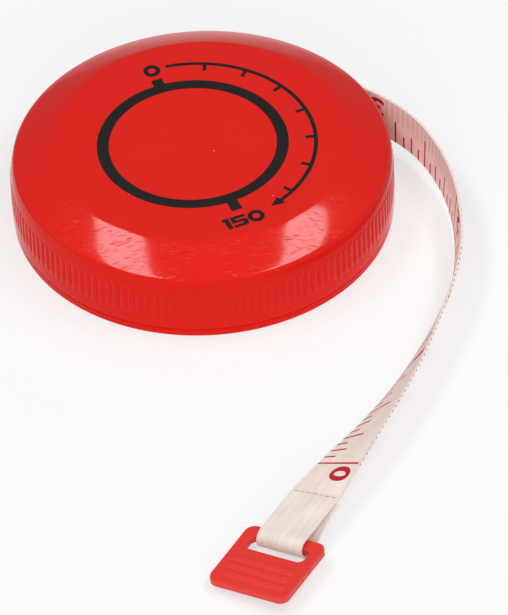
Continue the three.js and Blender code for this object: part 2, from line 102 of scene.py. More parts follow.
def apply_modifier(piece, kind, **settings):
    modifier = piece.modifiers.new(kind.title(), kind)
    for name, value in settings.items():
        setattr(modifier, name, value)
    select_only(piece)
    bpy.ops.object.modifier_apply(modifier=modifier.name)


def apply_place(piece):
    select_only(piece)
    bpy.ops.object.transform_apply(location=True, rotation=True, scale=True)


def block(size, middle, turn=0):
    bpy.ops.object.select_all(action="DESELECT")
    bpy.ops.mesh.primitive_cube_add(size=1, location=middle, rotation=(0, 0, turn))
    piece = bpy.context.object
    piece.scale = size
    apply_place(piece)
    return piece


def join(pieces):
    select_only(*pieces)
    bpy.ops.object.join()
    return bpy.context.object


def cut(piece, cutter, operation="DIFFERENCE"):
    apply_modifier(piece, "BOOLEAN", object=cutter, operation=operation, solver="EXACT")
    bpy.data.objects.remove(cutter)

# %% [markdown]
# ## Points and finishing
# Some forms follow a formula, such as grip ribs or a twisted tape. Then the points of a plain mesh
# are read, moved by the formula and written back. The last step is the same for every piece: it is
# named, scaled to metres, smoothed, given its material and handed to the body that carries it.

# %% Helpers for points and finishing
def places_of(piece):
    places = np.zeros(len(piece.data.vertices) * 3)
    piece.data.vertices.foreach_get("co", places)
    return places.reshape(-1, 3)


def move_to(piece, places):
    piece.data.vertices.foreach_set("co", np.asarray(places).ravel())
    piece.data.update()


SMOOTH_ANGLE = math.radians(35)


def finish_piece(piece, name, body, material, replaced=(), smooth=SMOOTH_ANGLE):
    piece.name = name
    piece.data.name = name
    piece.scale = (MM, MM, MM)
    apply_place(piece)
    bpy.ops.object.shade_smooth_by_angle(angle=smooth)
    piece.data.materials.clear()
    piece.data.materials.append(material)
    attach(piece, body)
    if replaced:
        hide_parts(*replaced)
    print(name, "has", len(piece.data.polygons), "faces")
    return piece

# %% [markdown]
# ## Rounded corners
# Most of the case is round. Such a form is drawn as half of its section and spun about the middle,
# as on a lathe. A moulding has few sharp corners, so a corner of the section may carry a fillet, and
# this function swaps it for a short arc that meets both of its sides.

# %% Rounded corners
ARC_STEPS = 6


def rounded(profile):
    """Takes corners of (radius, height) or (radius, height, fillet), and gives the drawn points."""
    line = []
    for i, (radius, height, *fillet) in enumerate(profile):
        here = np.array((radius, height))
        if not fillet:
            line.append(here)
            continue
        before = np.array(profile[i - 1][:2]) - here
        after = np.array(profile[i + 1][:2]) - here
        before /= np.linalg.norm(before)
        after /= np.linalg.norm(after)
        half = math.acos(np.clip(before @ after, -1, 1)) / 2
        reach = fillet[0] / math.tan(half)
        middle = here + (before + after) / np.linalg.norm(before + after) * fillet[0] / math.sin(half)
        start = here + before * reach - middle
        end = here + after * reach - middle
        turn = math.atan2(start[0] * end[1] - start[1] * end[0], start @ end)
        for share in np.linspace(0, 1, ARC_STEPS + 1):
            c, s = math.cos(turn * share), math.sin(turn * share)
            line.append(middle + np.array((c * start[0] - s * start[1], s * start[0] + c * start[1])))
    return line

# %% [markdown]
# ## Turning
# A section becomes a solid by two moves in edit mode: one vertex is extruded from corner to corner,
# and the line is spun round the middle. The spin leaves double points where it closes and on the
# axis. They are merged, and then all faces are turned outwards.

# %% Extruding and spinning
MERGE_DISTANCE = 0.0005


def leave_edit_mode():
    """Merges double points, turns all faces outwards and goes back to object mode."""
    bpy.ops.mesh.select_all(action="SELECT")
    bpy.ops.mesh.remove_doubles(threshold=MERGE_DISTANCE)
    bpy.ops.mesh.normals_make_consistent(inside=False)
    bpy.ops.object.mode_set(mode="OBJECT")


def extruded_line(points):
    """A wire drawn by extruding one vertex from point to point, left selected in edit mode."""
    bpy.ops.object.select_all(action="DESELECT")
    bpy.ops.mesh.primitive_plane_add(size=1)
    piece = bpy.context.object
    bpy.ops.object.mode_set(mode="EDIT")
    bpy.ops.mesh.select_mode(type="VERT")
    bpy.ops.mesh.merge(type="CENTER")
    bpy.ops.transform.translate(value=points[0])
    for here, there in zip(points, points[1:]):
        step = [b - a for a, b in zip(here, there)]
        bpy.ops.mesh.extrude_vertices_move(TRANSFORM_OT_translate={"value": step})
    bpy.ops.mesh.select_all(action="SELECT")
    bpy.ops.mesh.remove_doubles(threshold=MERGE_DISTANCE)
    return piece


def turned(profile, steps, closed=False):
    """A profile of (radius, height, fillet) spun about Z. A closed one makes a ring."""
    line = rounded(profile)
    if closed:
        line.append(line[0])
    piece = extruded_line([(radius, 0, height) for radius, height in line])
    bpy.ops.mesh.spin(steps=steps, angle=math.tau, center=(0, 0, 0), axis=(0, 0, 1))
    leave_edit_mode()
    return piece

# %% [markdown]
# ## Colours and nodes
# Colours are read off as sRGB hex values, as in any paint program, and Blender shades in linear
# light, so one function turns the one into the other. Another adds a node, sets it and links it.

# %% Helpers for materials
def linear(hex_colour):
    shares = [int(hex_colour[i:i + 2], 16) / 255 for i in (1, 3, 5)]
    return [c / 12.92 if c <= 0.04045 else ((c + 0.055) / 1.055) ** 2.4 for c in shares] + [1]


def add_node(tree, kind, inputs, **settings):
    node = tree.nodes.new(kind)
    for name, value in settings.items():
        setattr(node, name, value)
    for name, value in inputs.items():
        if isinstance(value, bpy.types.NodeSocket):
            tree.links.new(value, node.inputs[name])
        else:
            node.inputs[name].default_value = value
    return node


def new_material(name, **shader_values):
    material = bpy.data.materials.new(name)
    material.use_nodes = True
    shader = material.node_tree.nodes["Principled BSDF"]
    for socket, value in shader_values.items():
        shader.inputs[socket.replace("_", " ")].default_value = value
    return material, material.node_tree, shader

# %% [markdown]
# ## Building blocks of materials
# Real surfaces are never quite even. A noise texture gives slow or fine changes, a map range
# stretches the part of them that matters to the values that are wanted, and a mix turns these into
# colours. A bump makes light fall as if the surface were rough. Nearly every material below is made
# of these few steps.

# %% Building blocks of materials
def noise(tree, where, scale, detail):
    node = add_node(tree, "ShaderNodeTexNoise", {"Vector": where, "Scale": scale, "Detail": detail})
    return node.outputs["Fac"]


def remap(tree, value, low, high, to_low=0, to_high=1, curve="LINEAR"):
    """Stretches the values from low to high, so that they run from to_low to to_high."""
    node = add_node(tree, "ShaderNodeMapRange", {
        "Value": value, "From Min": low, "From Max": high, "To Min": to_low, "To Max": to_high},
        interpolation_type=curve)
    return node.outputs[0]


def calculate(tree, operation, *values):
    return add_node(tree, "ShaderNodeMath", dict(enumerate(values)), operation=operation).outputs[0]


def mix_colours(tree, factor, first, second):
    node = add_node(
        tree, "ShaderNodeMix", {"Factor": factor, "A": first, "B": second}, data_type="RGBA")
    return node.outputs["Result"]


def add_bump(tree, shader, height, strength, depth_mm, **settings):
    node = add_node(tree, "ShaderNodeBump", {
        "Strength": strength, "Distance": depth_mm * MM, "Height": height}, **settings)
    tree.links.new(node.outputs[0], shader.inputs["Normal"])

# %% [markdown]
# ## The tape's route
# The tape leaves the case standing on edge, as it was wound, sweeps round in front of it and lies
# down flat towards its tab. The CAD model holds its route as points from the slot in the case, each
# with a lean in degrees from upright to flat. The same points are used here, finely adjusted to the
# photograph.

# %% Route of the tape
CASE_RADIUS = 25.5
WALL_RADIUS = 25.1
SHELL_WALL = 1.2
WALL_INNER = WALL_RADIUS - SHELL_WALL
EXIT_ANGLE = math.radians(33.2)
EXIT_RADIUS = (WALL_INNER + CASE_RADIUS) / 2
EXIT = np.array((EXIT_RADIUS * math.cos(EXIT_ANGLE), EXIT_RADIUS * math.sin(EXIT_ANGLE), 0))
EXIT_HEIGHT = 5.3  # of the middle of the tape
TAPE_ROUTE = [
    (-22.5, 6.5, EXIT_HEIGHT, 0),
    (-15.3, 6.6, EXIT_HEIGHT, 0),
    (-9.9, 5.2, EXIT_HEIGHT, 0),
    (-5.6, 3.3, EXIT_HEIGHT, 0),
    (-2.0, 1.2, EXIT_HEIGHT, 0),
    (0, 0, EXIT_HEIGHT, 1),
    (3.4, -2.4, EXIT_HEIGHT, 1),
    (7.7, -7.0, 5.2, 1),
    (10.6, -12.5, 4.9, 2),
    (12.3, -18.6, 4.5, 4),
    (12.8, -25.0, 4.0, 7),
    (12.3, -31.3, 3.6, 10.8),
    (10.7, -37.4, 3.4, 16.8),
    (8.4, -43.4, 3.2, 23.5),
    (5.9, -49.2, 3.0, 31.5),
    (3.15, -54.8, 3.05, 39.5),
    (0.08, -60.35, 3.2, 48.5),
    (-3.15, -65.75, 3.3, 61),
    (-6.35, -71.25, 3.35, 75.5),
    (-7.8, -73.8, 3.35, 83),
]
print("the tape leaves the case at", EXIT.round(2), "and is guided by", len(TAPE_ROUTE), "points")

# %% [markdown]
# ## A frame along the tape
# A smooth line through the points gives the tape its middle. At each step of that line, three
# directions are kept: along the tape, across it and out of its face. With them, anything that is
# drawn flat can be laid onto the tape and bends and twists with it.

# %% Frame along the tape
STEPS_PER_POINT = 20


def line_through(points, steps):
    """A centripetal Catmull-Rom line through points of (x, y, z, lean)."""
    ends = [2 * points[0] - points[1], *points, 2 * points[-1] - points[-2]]
    line = []
    for before, start, end, after in zip(ends, ends[1:], ends[2:], ends[3:]):
        first, middle, last = (
            np.linalg.norm((b - a)[:3]) ** 0.5
            for a, b in ((before, start), (start, end), (end, after)))
        leave = (start - before) / first - (end - before) / (first + middle) + (end - start) / middle
        arrive = (end - start) / middle - (after - start) / (middle + last) + (after - end) / last
        for t in np.arange(steps) / steps:
            line.append(
                (2 * t**3 - 3 * t**2 + 1) * start + (t**3 - 2 * t**2 + t) * leave * middle
                + (3 * t**2 - 2 * t**3) * end + (t**3 - t**2) * arrive * middle)
    return np.array(line + [points[-1]])


def unit(vectors):
    return vectors / np.linalg.norm(vectors, axis=-1, keepdims=True)


route = line_through([np.array(p) + np.append(EXIT, 0) for p in TAPE_ROUTE], STEPS_PER_POINT)
tape_middle = route[:, :3]
tape_lean = np.radians(route[:, 3:])
tape_along = unit(np.gradient(tape_middle, axis=0))
tape_side = unit(np.cross((0, 0, 1), tape_along))
tape_up = np.cross(tape_along, tape_side)
tape_across = tape_up * np.cos(tape_lean) + tape_side * np.sin(tape_lean)
tape_face = np.cross(tape_along, tape_across)
tape_walk = np.append(0, np.cumsum(np.linalg.norm(np.diff(tape_middle, axis=0), axis=1)))
TAPE_LENGTH = tape_walk[-1]


def on_tape(walk, across, lift):
    """Places on the tape, from mm along it, across it to its upper edge and off its face."""
    def there(rows):
        return np.stack([np.interp(walk, tape_walk, rows[:, i]) for i in range(3)], axis=-1)
    return there(tape_middle) + there(tape_across) * across[:, None] + there(tape_face) * lift[:, None]


print("tape outside its reel in mm:", round(TAPE_LENGTH, 1))

# %% [markdown]
# ## Woven tape
# Measuring tape for sewing is a narrow plain weave of polyester or glass yarn with a thin matt
# coating. The eye sees a cream strip with fine uneven streaks along it, a paler woven edge, and the
# print of the other side showing through as faint pink bars, most where it is bent and worn. The
# strip's own UV map runs along and across it, so the threads follow every bend. Threads are drawn
# a little coarser than they are, so that they show at this distance.

# %% Material of the tape
TAPE_WIDTH = 6.7
TAPE_THICKNESS = 0.35
CLOTH_THICKNESS = 0.27  # the strip in the CAD model is a little thicker than the cloth
WAVE_PERIOD_AT_SCALE_ONE = math.tau / 20  # a wave texture of scale 1 repeats after this length
WARP_SPACING = 0.55
WEFT_SPACING = 0.4
WEFT_SHARE = 0.12
STREAK_LENGTH = 12
STREAK_WIDTH = 0.6
NOISE_MIDDLE = (0.35, 0.65)  # most values of a noise lie between these
SHOW_THROUGH_SPACING = 1
SHOW_THROUGH_FROM = (0.5, 0.6)  # shares of the width, from the edge with the inch ticks
SHOW_THROUGH_FADES = (0.4, 0.94)  # shares of the length
SELVEDGE = 0.965


def wave(tree, where, spacing, direction, distortion, detail, detail_scale):
    node = add_node(tree, "ShaderNodeTexWave", {
        "Vector": where, "Scale": WAVE_PERIOD_AT_SCALE_ONE / spacing, "Distortion": distortion,
        "Detail": detail, "Detail Scale": detail_scale}, bands_direction=direction)
    return node.outputs["Fac"]


def woven_polyester(name, length, light_hex, dark_hex, thread_shade, show_through):
    material, tree, shader = new_material(
        name, Roughness=0.78, Specular_IOR_Level=0.3, Sheen_Weight=0.15)
    uv = add_node(tree, "ShaderNodeTexCoord", {}).outputs["UV"]
    share = add_node(tree, "ShaderNodeSeparateXYZ", {"Vector": uv}).outputs
    in_mm = add_node(tree, "ShaderNodeMapping", {
        "Vector": uv, "Scale": (length, TAPE_WIDTH, 1)}).outputs[0]
    place = add_node(tree, "ShaderNodeSeparateXYZ", {"Vector": in_mm}).outputs
    cloudy = remap(tree, noise(tree, in_mm, 0.3, 3), *NOISE_MIDDLE)
    cream = mix_colours(tree, cloudy, linear(light_hex), linear(dark_hex))
    stretched = add_node(tree, "ShaderNodeMapping", {
        "Vector": in_mm, "Scale": (1 / STREAK_LENGTH, 1 / STREAK_WIDTH, 1)}).outputs[0]
    streaks = remap(tree, noise(tree, stretched, 1, 3), *NOISE_MIDDLE, thread_shade, 0)
    shaded = mix_colours(tree, streaks, cream, linear("#BBA397"))
    bars = calculate(tree, "PINGPONG", place["X"], SHOW_THROUGH_SPACING / 2)
    pink = remap(tree, bars, 0.1, 0.4, curve="SMOOTHSTEP")
    reach = remap(tree, share["Y"], *SHOW_THROUGH_FROM, 0, show_through, curve="SMOOTHSTEP")
    worn = remap(tree, share["X"], *SHOW_THROUGH_FADES, 1, 0)
    for mask in (reach, worn):
        pink = calculate(tree, "MULTIPLY", pink, mask)
    printed = mix_colours(tree, pink, shaded, linear("#D2938C"))
    edge = calculate(tree, "GREATER_THAN", share["Y"], SELVEDGE)
    colour = mix_colours(tree, edge, printed, linear("#F0DED8"))
    tree.links.new(colour, shader.inputs["Base Color"])
    warp = wave(tree, in_mm, WARP_SPACING, "Y", 1.2, 2, 0.3)
    weft = wave(tree, in_mm, WEFT_SPACING, "X", 0.4, 1, 0.4)
    threads = add_node(tree, "ShaderNodeMix", {
        "Factor": WEFT_SHARE, "A": warp, "B": weft}, data_type="FLOAT").outputs["Result"]
    add_bump(tree, shader, threads, 0.35, 0.04)
    return material


tape_cloth = woven_polyester("woven_polyester_coated", TAPE_LENGTH, "#F9EDE3", "#F5E0D7", 0.12, 0.32)
print(tape_cloth.name, "has", len(tape_cloth.node_tree.nodes), "nodes")

# %% [markdown]
# ## The free tape
# A flat grid with a row of faces to every half millimetre is laid along the route, point by point,
# and a Solidify modifier gives it the thickness of the cloth. That keeps its length exact and lets
# it twist, which a bent curve object would not.

# %% Free tape
FACES_ALONG = 220
FACES_ACROSS = 8


def strip(faces_along, faces_across):
    """A flat unit grid from (0, 0) to (1, 1), with the same numbers as its UV map."""
    bpy.ops.object.select_all(action="DESELECT")
    bpy.ops.mesh.primitive_grid_add(
        x_subdivisions=faces_along, y_subdivisions=faces_across, size=1, location=(0.5, 0.5, 0))
    piece = bpy.context.object
    apply_place(piece)
    return piece


tape = strip(FACES_ALONG, FACES_ACROSS)
flat = places_of(tape)
move_to(tape, on_tape(flat[:, 0] * TAPE_LENGTH, (flat[:, 1] - 0.5) * TAPE_WIDTH, flat[:, 2]))
apply_modifier(tape, "SOLIDIFY", thickness=CLOTH_THICKNESS, offset=0)
finish_piece(tape, "tape", "case", tape_cloth, ["tape_free"])

# %% [markdown]
# ## The fold at the tab
# The end of the tape goes round the tab's bar and is sewn back on itself. Seen from its edge it is a
# long eye: down from the seam, over the bar, round its front and back below. Everything at the tab
# is modelled in the tab's own frame, with x along the bar and y towards the tape, and set in place at
# the end.

# %% Fold at the tab
BAR_FROM_EXIT = (-12, -81.1, 1.8)
TAB_TURN = math.radians(-31.3)
TAB_ROLL = math.radians(-5.6)
BAR_SWING = 0.91  # the farthest that the flat bar reaches from its middle
LOOP_PLAY = 0.15
LOOP_SLACK = 0.7
LOOP_LENGTH = 8.1
LOOP_RISE = 0.35
SEAM_OVERLAP = 0.4  # the loop reaches this far past the seam, so that no gap shows
bar_place = Matrix.Translation(Vector(EXIT) + Vector(BAR_FROM_EXIT))
tab_place = bar_place @ Matrix.Rotation(TAB_TURN, 4, "Z") @ Matrix.Rotation(TAB_ROLL, 4, "Y")


def bezier(points, steps):
    p0, p1, p2, p3 = (np.array(p) for p in points)
    t = np.linspace(0, 1, steps, endpoint=False)[:, None]
    return (1 - t)**3 * p0 + 3 * (1 - t)**2 * t * p1 + 3 * (1 - t) * t**2 * p2 + t**3 * p3


loop_radius = BAR_SWING + LOOP_PLAY + TAPE_THICKNESS / 2
seam_height = loop_radius + LOOP_RISE
under_seam = seam_height - TAPE_THICKNESS
tail = LOOP_LENGTH + SEAM_OVERLAP
front = -loop_radius - LOOP_SLACK
loop_line = np.concatenate([
    bezier([
        (tail, seam_height), (tail / 2, seam_height), (tail / 4, loop_radius), (0, loop_radius)], 24),
    bezier([(0, loop_radius), (front, loop_radius), (front, -loop_radius), (0, -loop_radius)], 24),
    bezier([
        (0, -loop_radius), (tail / 3, -loop_radius), (tail / 2, under_seam),
        (LOOP_LENGTH, under_seam)], 25),
])
loop_walk = np.append(0, np.cumsum(np.linalg.norm(np.diff(loop_line, axis=0), axis=1)))
LOOP_STRIP_LENGTH = loop_walk[-1]
print("the fold takes", round(LOOP_STRIP_LENGTH, 1), "mm of tape")

# %% [markdown]
# ## The sewn loop
# A strip is laid along the fold, as the free tape was along its route. The lower layer sits a little
# to one side, so that its cut edge shows, and the upper one drifts and tilts to meet the tape.

# %% Sewn loop
LOOP_OFFSET = -0.38
LOOP_DRIFT = 0.33
LOOP_TILT = math.radians(1.4)
LOWER_LAYER_SHIFT = 0.3
LOOP_THICKNESS = 0.95 * CLOTH_THICKNESS  # so that its face never lies in the tape's face
LOOP_FACES_ALONG = 90


def on_loop(walk, x, lift):
    """Places on the folded strip, in the tab's frame, from mm along it, across it and off it."""
    y, z = (np.interp(walk, loop_walk, loop_line[:, i]) for i in range(2))
    slope = np.gradient(loop_line, axis=0)
    outward = unit(np.stack([slope[:, 1], -slope[:, 0]], axis=-1))
    y = y + lift * np.interp(walk, loop_walk, outward[:, 0])
    z = z + lift * np.interp(walk, loop_walk, outward[:, 1])
    share = np.clip(y / LOOP_LENGTH, 0, None)
    below = np.clip((walk / LOOP_STRIP_LENGTH - 0.5) * 2, 0, 1)
    shifted = x + LOOP_OFFSET + LOOP_DRIFT * share + LOWER_LAYER_SHIFT * below
    return np.stack([shifted, y, z + x * math.tan(LOOP_TILT) * share**2], axis=-1)


loop_cloth = woven_polyester("woven_polyester_bare", LOOP_STRIP_LENGTH, "#F4EBE1", "#EFDED5", 0.24, 0)
loop = strip(LOOP_FACES_ALONG, FACES_ACROSS)
flat = places_of(loop)
move_to(loop, on_loop(flat[:, 0] * LOOP_STRIP_LENGTH, (flat[:, 1] - 0.5) * TAPE_WIDTH, flat[:, 2]))
apply_modifier(loop, "SOLIDIFY", thickness=LOOP_THICKNESS, offset=0)
loop.data.transform(tab_place)
finish_piece(loop, "tape_loop", "case", loop_cloth, ["tape_end_loop"])

# %% [markdown]
# ## Seam
# A running stitch holds the folded end. Each stitch is a narrow strip that rises a little in its
# middle, laid across the loop with the same function that folded the cloth.

# %% Seam
STITCH_PITCH = 0.9
STITCH_LENGTH = 0.84
STITCH_FACES = (2, 8)
THREAD = 0.1
THREAD_THICKNESS = 0.8 * THREAD
SEAM_WALK = 0.5  # mm along the folded strip, at its middle
SEAM_SLANT = -0.078
SEAM_FROM = -3.2  # mm across the strip
SEAM_TO = 2.4
stitches = []
for start in np.arange(SEAM_FROM, SEAM_TO, STITCH_PITCH):
    stitch = strip(*STITCH_FACES)
    flat = places_of(stitch)
    x = start + flat[:, 1] * STITCH_LENGTH
    walk = SEAM_WALK + SEAM_SLANT * x + (flat[:, 0] - 0.5) * THREAD
    lift = CLOTH_THICKNESS / 2 + THREAD * (np.sin(math.pi * flat[:, 1]) - 0.5)
    move_to(stitch, on_loop(walk, x, lift))
    apply_modifier(stitch, "SOLIDIFY", thickness=THREAD_THICKNESS, offset=0)
    stitches.append(stitch)
seam = join(stitches)
seam.data.transform(tab_place)
thread_cloth = woven_polyester("polyester_thread", STITCH_LENGTH, "#DDC6BB", "#D0B6AA", 0.2, 0)
finish_piece(seam, "seam_thread", "case", thread_cloth)

# %% [markdown]
# ## Tab plastic
# The tab is moulded polypropylene: satin, with the faint orange peel of its mould and a slightly
# waxy shine. A fine bump breaks up its highlights.

# %% Material of the tab
def satin_polypropylene():
    material, tree, shader = new_material(
        "polypropylene_satin_red", Roughness=0.42, IOR=1.49, Subsurface_Weight=0.08,
        Subsurface_Scale=0.6 * MM)
    where = add_node(tree, "ShaderNodeTexCoord", {}).outputs["Object"]
    red = mix_colours(tree, noise(tree, where, 0.3 / MM, 2), linear("#E22F27"), linear("#E8372E"))
    tree.links.new(red, shader.inputs["Base Color"])
    add_bump(tree, shader, noise(tree, where, 2.5 / MM, 1), 0.15, 0.03)
    return material


tab_plastic = satin_polypropylene()
print(tab_plastic.name, "has", len(tab_plastic.node_tree.nodes), "nodes")

# %% [markdown]
# ## Rounding upright edges
# A bevel rounds the edges that are selected. A block that gets round corners needs its four upright
# edges, and these are told by their two ends, which lie one above the other.

# %% Rounding upright edges
CORNER_SEGMENTS = 8


def round_upright_edges(piece, radius):
    """Selects the edges that stand upright, by their two ends, and bevels them."""
    select_only(piece)
    bpy.ops.object.mode_set(mode="EDIT")
    bpy.ops.mesh.select_mode(type="EDGE")
    bpy.ops.mesh.select_all(action="DESELECT")
    bpy.ops.object.mode_set(mode="OBJECT")
    places = piece.data.vertices
    for edge in piece.data.edges:
        rise = places[edge.vertices[0]].co - places[edge.vertices[1]].co
        edge.select = abs(rise.z) > abs(rise.x) + abs(rise.y)
    bpy.ops.object.mode_set(mode="EDIT")
    bpy.ops.mesh.bevel(offset=radius, segments=CORNER_SEGMENTS, affect="EDGES")
    bpy.ops.object.mode_set(mode="OBJECT")

# %% [markdown]
# ## Pull tab
# A thin plate with round corners has a slot for the tape, a flat bar behind it and three low ridges
# for the fingertip. A moulding has no sharp edge, and many small bevels that meet are hard to keep
# tidy. So plain blocks are cut and joined first, and a voxel remesh with a little smoothing then
# melts every edge into a fillet.

# %% Pull tab
TAB_WIDTH = 11.65
TAB_MIDDLE = -0.2
TAB_THICKNESS = 1
TAB_FRONT = 10.75
TAB_CORNER = 1.3
BAR_WIDTH = 1.8
SLOT_LENGTH = 8.6
SLOT_WIDTH = 2.6
SLOT_CORNER = 0.9
RIDGE_PLACES = (5.6, 7.15, 8.7)
RIDGE_LENGTH = 8.8
RIDGE_WIDTH = 0.75
RIDGE_CORNER = 0.45 * RIDGE_WIDTH
RIDGE_HEIGHT = 0.22
RIDGE_SUNK = 0.4
VOXEL = 0.07
SMOOTHING_ROUNDS = 8
half_bar = BAR_WIDTH / 2
tab = block((TAB_WIDTH, TAB_FRONT + half_bar, TAB_THICKNESS), (0, (half_bar - TAB_FRONT) / 2, 0))
round_upright_edges(tab, TAB_CORNER)
slot = block((SLOT_LENGTH, SLOT_WIDTH, 2 * TAB_THICKNESS), (0, -half_bar - SLOT_WIDTH / 2, 0))
round_upright_edges(slot, SLOT_CORNER)
cut(tab, slot)
tab_parts = [tab]
for distance in RIDGE_PLACES:
    top = TAB_THICKNESS / 2 + RIDGE_HEIGHT
    ridge = block((RIDGE_LENGTH, RIDGE_WIDTH, RIDGE_SUNK), (0, -distance, top - RIDGE_SUNK / 2))
    round_upright_edges(ridge, RIDGE_CORNER)
    tab_parts.append(ridge)
tab = join(tab_parts)
tab.location.x = TAB_MIDDLE
apply_place(tab)
apply_modifier(tab, "REMESH", mode="VOXEL", voxel_size=VOXEL)
apply_modifier(tab, "SMOOTH", factor=0.5, iterations=SMOOTHING_ROUNDS)
tab.data.transform(tab_place)
finish_piece(tab, "pull_tab_moulding", "tab", tab_plastic, ["pull_tab"], math.pi)

# %% [markdown]
# ## Red ink
# The scale is printed in a red that sinks a little into the coating, so that it is matt and not
# quite even. Its colour varies slowly along the tape.

# %% Material of the printed scale
def printed_ink(name, light_hex, dark_hex, patch_mm):
    material, tree, shader = new_material(name, Roughness=0.6, Specular_IOR_Level=0.3)
    where = add_node(tree, "ShaderNodeTexCoord", {}).outputs["Object"]
    patches = noise(tree, where, 1 / (patch_mm * MM), 2)
    colour = mix_colours(tree, patches, linear(dark_hex), linear(light_hex))
    tree.links.new(colour, shader.inputs["Base Color"])
    return material


red_ink = printed_ink("screen_ink_red", "#CB2735", "#AC1A28", 4)
print(red_ink.name, "has", len(red_ink.node_tree.nodes), "nodes")

# %% [markdown]
# ## Numbers of the scale
# The tape's numbers are wide and bold. A text object gives the digits, is made into a mesh and
# stretched to its size, with its middle at the origin. A large flat face can't bend, so it is sliced
# every half millimetre along the tape.

# %% Numbers of the scale
INK_LIFT = 0.012
DIGIT_HEIGHT = 2.9
DIGIT_WIDEN = 1.5
DIGIT_BOLD = 0.03
SLICE = 0.5


def number(text):
    """A number lying flat round the origin, as a closed thin mesh."""
    bpy.ops.object.select_all(action="DESELECT")
    bpy.ops.object.text_add()
    piece = bpy.context.object
    piece.data.body = text
    piece.data.align_x = "CENTER"
    piece.data.offset = DIGIT_BOLD
    piece.data.extrude = 0.01  # only to get two faces: their distance is set below
    bpy.ops.object.convert(target="MESH")
    places = places_of(piece)
    low, high = places.min(0), places.max(0)
    scale = DIGIT_HEIGHT / (high[1] - low[1])
    places = (places - (low + high) / 2) * (scale * DIGIT_WIDEN, scale, 0)
    places[:, 2] = np.where(places_of(piece)[:, 2] > 0, INK_LIFT, -INK_LIFT)
    move_to(piece, places)
    select_only(piece)
    bpy.ops.object.mode_set(mode="EDIT")
    bpy.ops.mesh.select_all(action="SELECT")
    bpy.ops.mesh.remove_doubles(threshold=MERGE_DISTANCE)
    bpy.ops.mesh.normals_make_consistent(inside=False)
    for x in np.arange(-2 * DIGIT_HEIGHT, 2 * DIGIT_HEIGHT, SLICE):
        bpy.ops.mesh.select_all(action="SELECT")
        bpy.ops.mesh.bisect(plane_co=(x, 0, 0), plane_no=(1, 0, 0))
    bpy.ops.object.mode_set(mode="OBJECT")
    return piece

# %% [markdown]
# ## Plates of the scale
# One face carries inches in sixteenths, the other centimetres in millimetres. Each scale is laid out
# flat first, as on a printing plate: x from the zero line towards the case, y towards the edge with
# the ticks, z off the face. The whole plate is sliced across too, so that it can twist.

# %% Plates of the scale
INK_SINK = 0.09  # the ink soaks in, and shows as dots where the ticks meet the edge
SOAKED_TO = 42  # mm from the zero line: the stretch that is handled most
EDGE_WRAP = 0.015
TICK_WIDTH = 0.31
DIGIT_FROM_LINE = 3.1
ZERO_FROM_LINE = 2.1
DIGIT_LOW = -1.3
ZERO_TO_SEAM = 6.2
UNPRINTED = 8  # mm of the tape's start, well inside the case
zero_walk = TAPE_LENGTH - ZERO_TO_SEAM
last_tick = zero_walk - UNPRINTED
print("mm of printed scale:", round(last_tick, 1))


def tick(x, length):
    sink = INK_SINK if x < SOAKED_TO else INK_LIFT
    size = (TICK_WIDTH, length + EDGE_WRAP, INK_LIFT + sink)
    return block(size, (x, (TAPE_WIDTH - length + EDGE_WRAP) / 2, (INK_LIFT - sink) / 2))


def longest_that_divides(count, lengths):
    return next(length for unit_count, length in lengths.items() if count % unit_count == 0)


def scale_plate(spacing, lengths, ticks_per_number):
    parts = []
    for count in range(int(last_tick / spacing)):
        x = count * spacing
        parts.append(tick(x, longest_that_divides(count, lengths)))
        if count % ticks_per_number == 0:
            digits = number(str(count // ticks_per_number))
            digits.location = (x - (DIGIT_FROM_LINE if count else ZERO_FROM_LINE), DIGIT_LOW, 0)
            apply_place(digits)
            parts.append(digits)
    plate = join(parts)
    bpy.ops.object.mode_set(mode="EDIT")
    for y in np.arange(-TAPE_WIDTH / 2 + SLICE, TAPE_WIDTH / 2, 2 * SLICE):
        bpy.ops.mesh.select_all(action="SELECT")
        bpy.ops.mesh.bisect(plane_co=(0, y, 0), plane_no=(0, 1, 0))
    bpy.ops.object.mode_set(mode="OBJECT")
    return plate

# %% [markdown]
# ## Printing the tape
# Each plate is wrapped onto its face of the tape, point by point, with the same function that laid
# out the cloth. Inches go on the face that shows in the photograph, and centimetres on the other,
# from the same zero line.

# %% Printed scales
INCH = 25.4
INCH_TICK_LENGTHS = {16: 6.5, 8: 4.65, 4: 3.65, 2: 2.75, 1: 1.85}  # by sixteenths
CM_TICK_LENGTHS = {10: 3.6, 5: 2.9, 1: 1.9}  # by millimetres


def wrap(plate, side):
    """Bends a flat plate onto the tape: side 1 is the face with inches, and -1 the other."""
    flat = places_of(plate)
    lift = (CLOTH_THICKNESS / 2 + flat[:, 2]) * side
    move_to(plate, on_tape(zero_walk - flat[:, 0], -flat[:, 1] * side, lift))


inch_scale = scale_plate(INCH / 16, INCH_TICK_LENGTHS, 16)
wrap(inch_scale, 1)
finish_piece(inch_scale, "inch_scale", "case", red_ink)
cm_scale = scale_plate(1, CM_TICK_LENGTHS, 10)
wrap(cm_scale, -1)
finish_piece(cm_scale, "cm_scale", "case", red_ink)

# %% [markdown]
# ## Length of the cord
# A free tape is a flat cord: its diameter is its width. Its length in millimetres is printed.

print("cord of", round(TAPE_LENGTH), "mm declared")

# %% [markdown]
# ## Case plastic
# The case is moulded polystyrene, a hard glossy plastic whose red is dyed right through. It has been
# handled: fine short scratches break up its highlights, and a few specks of dust lie on it. A noise
# that is stretched along one direction and cut off near its peaks gives short strokes, and three of
# them at angles look like use. Most lie on the near shoulder, where a thumb rubs. Scratches are
# drawn wider than they are, so that they show. The grip wall is duller than the top, from handling.

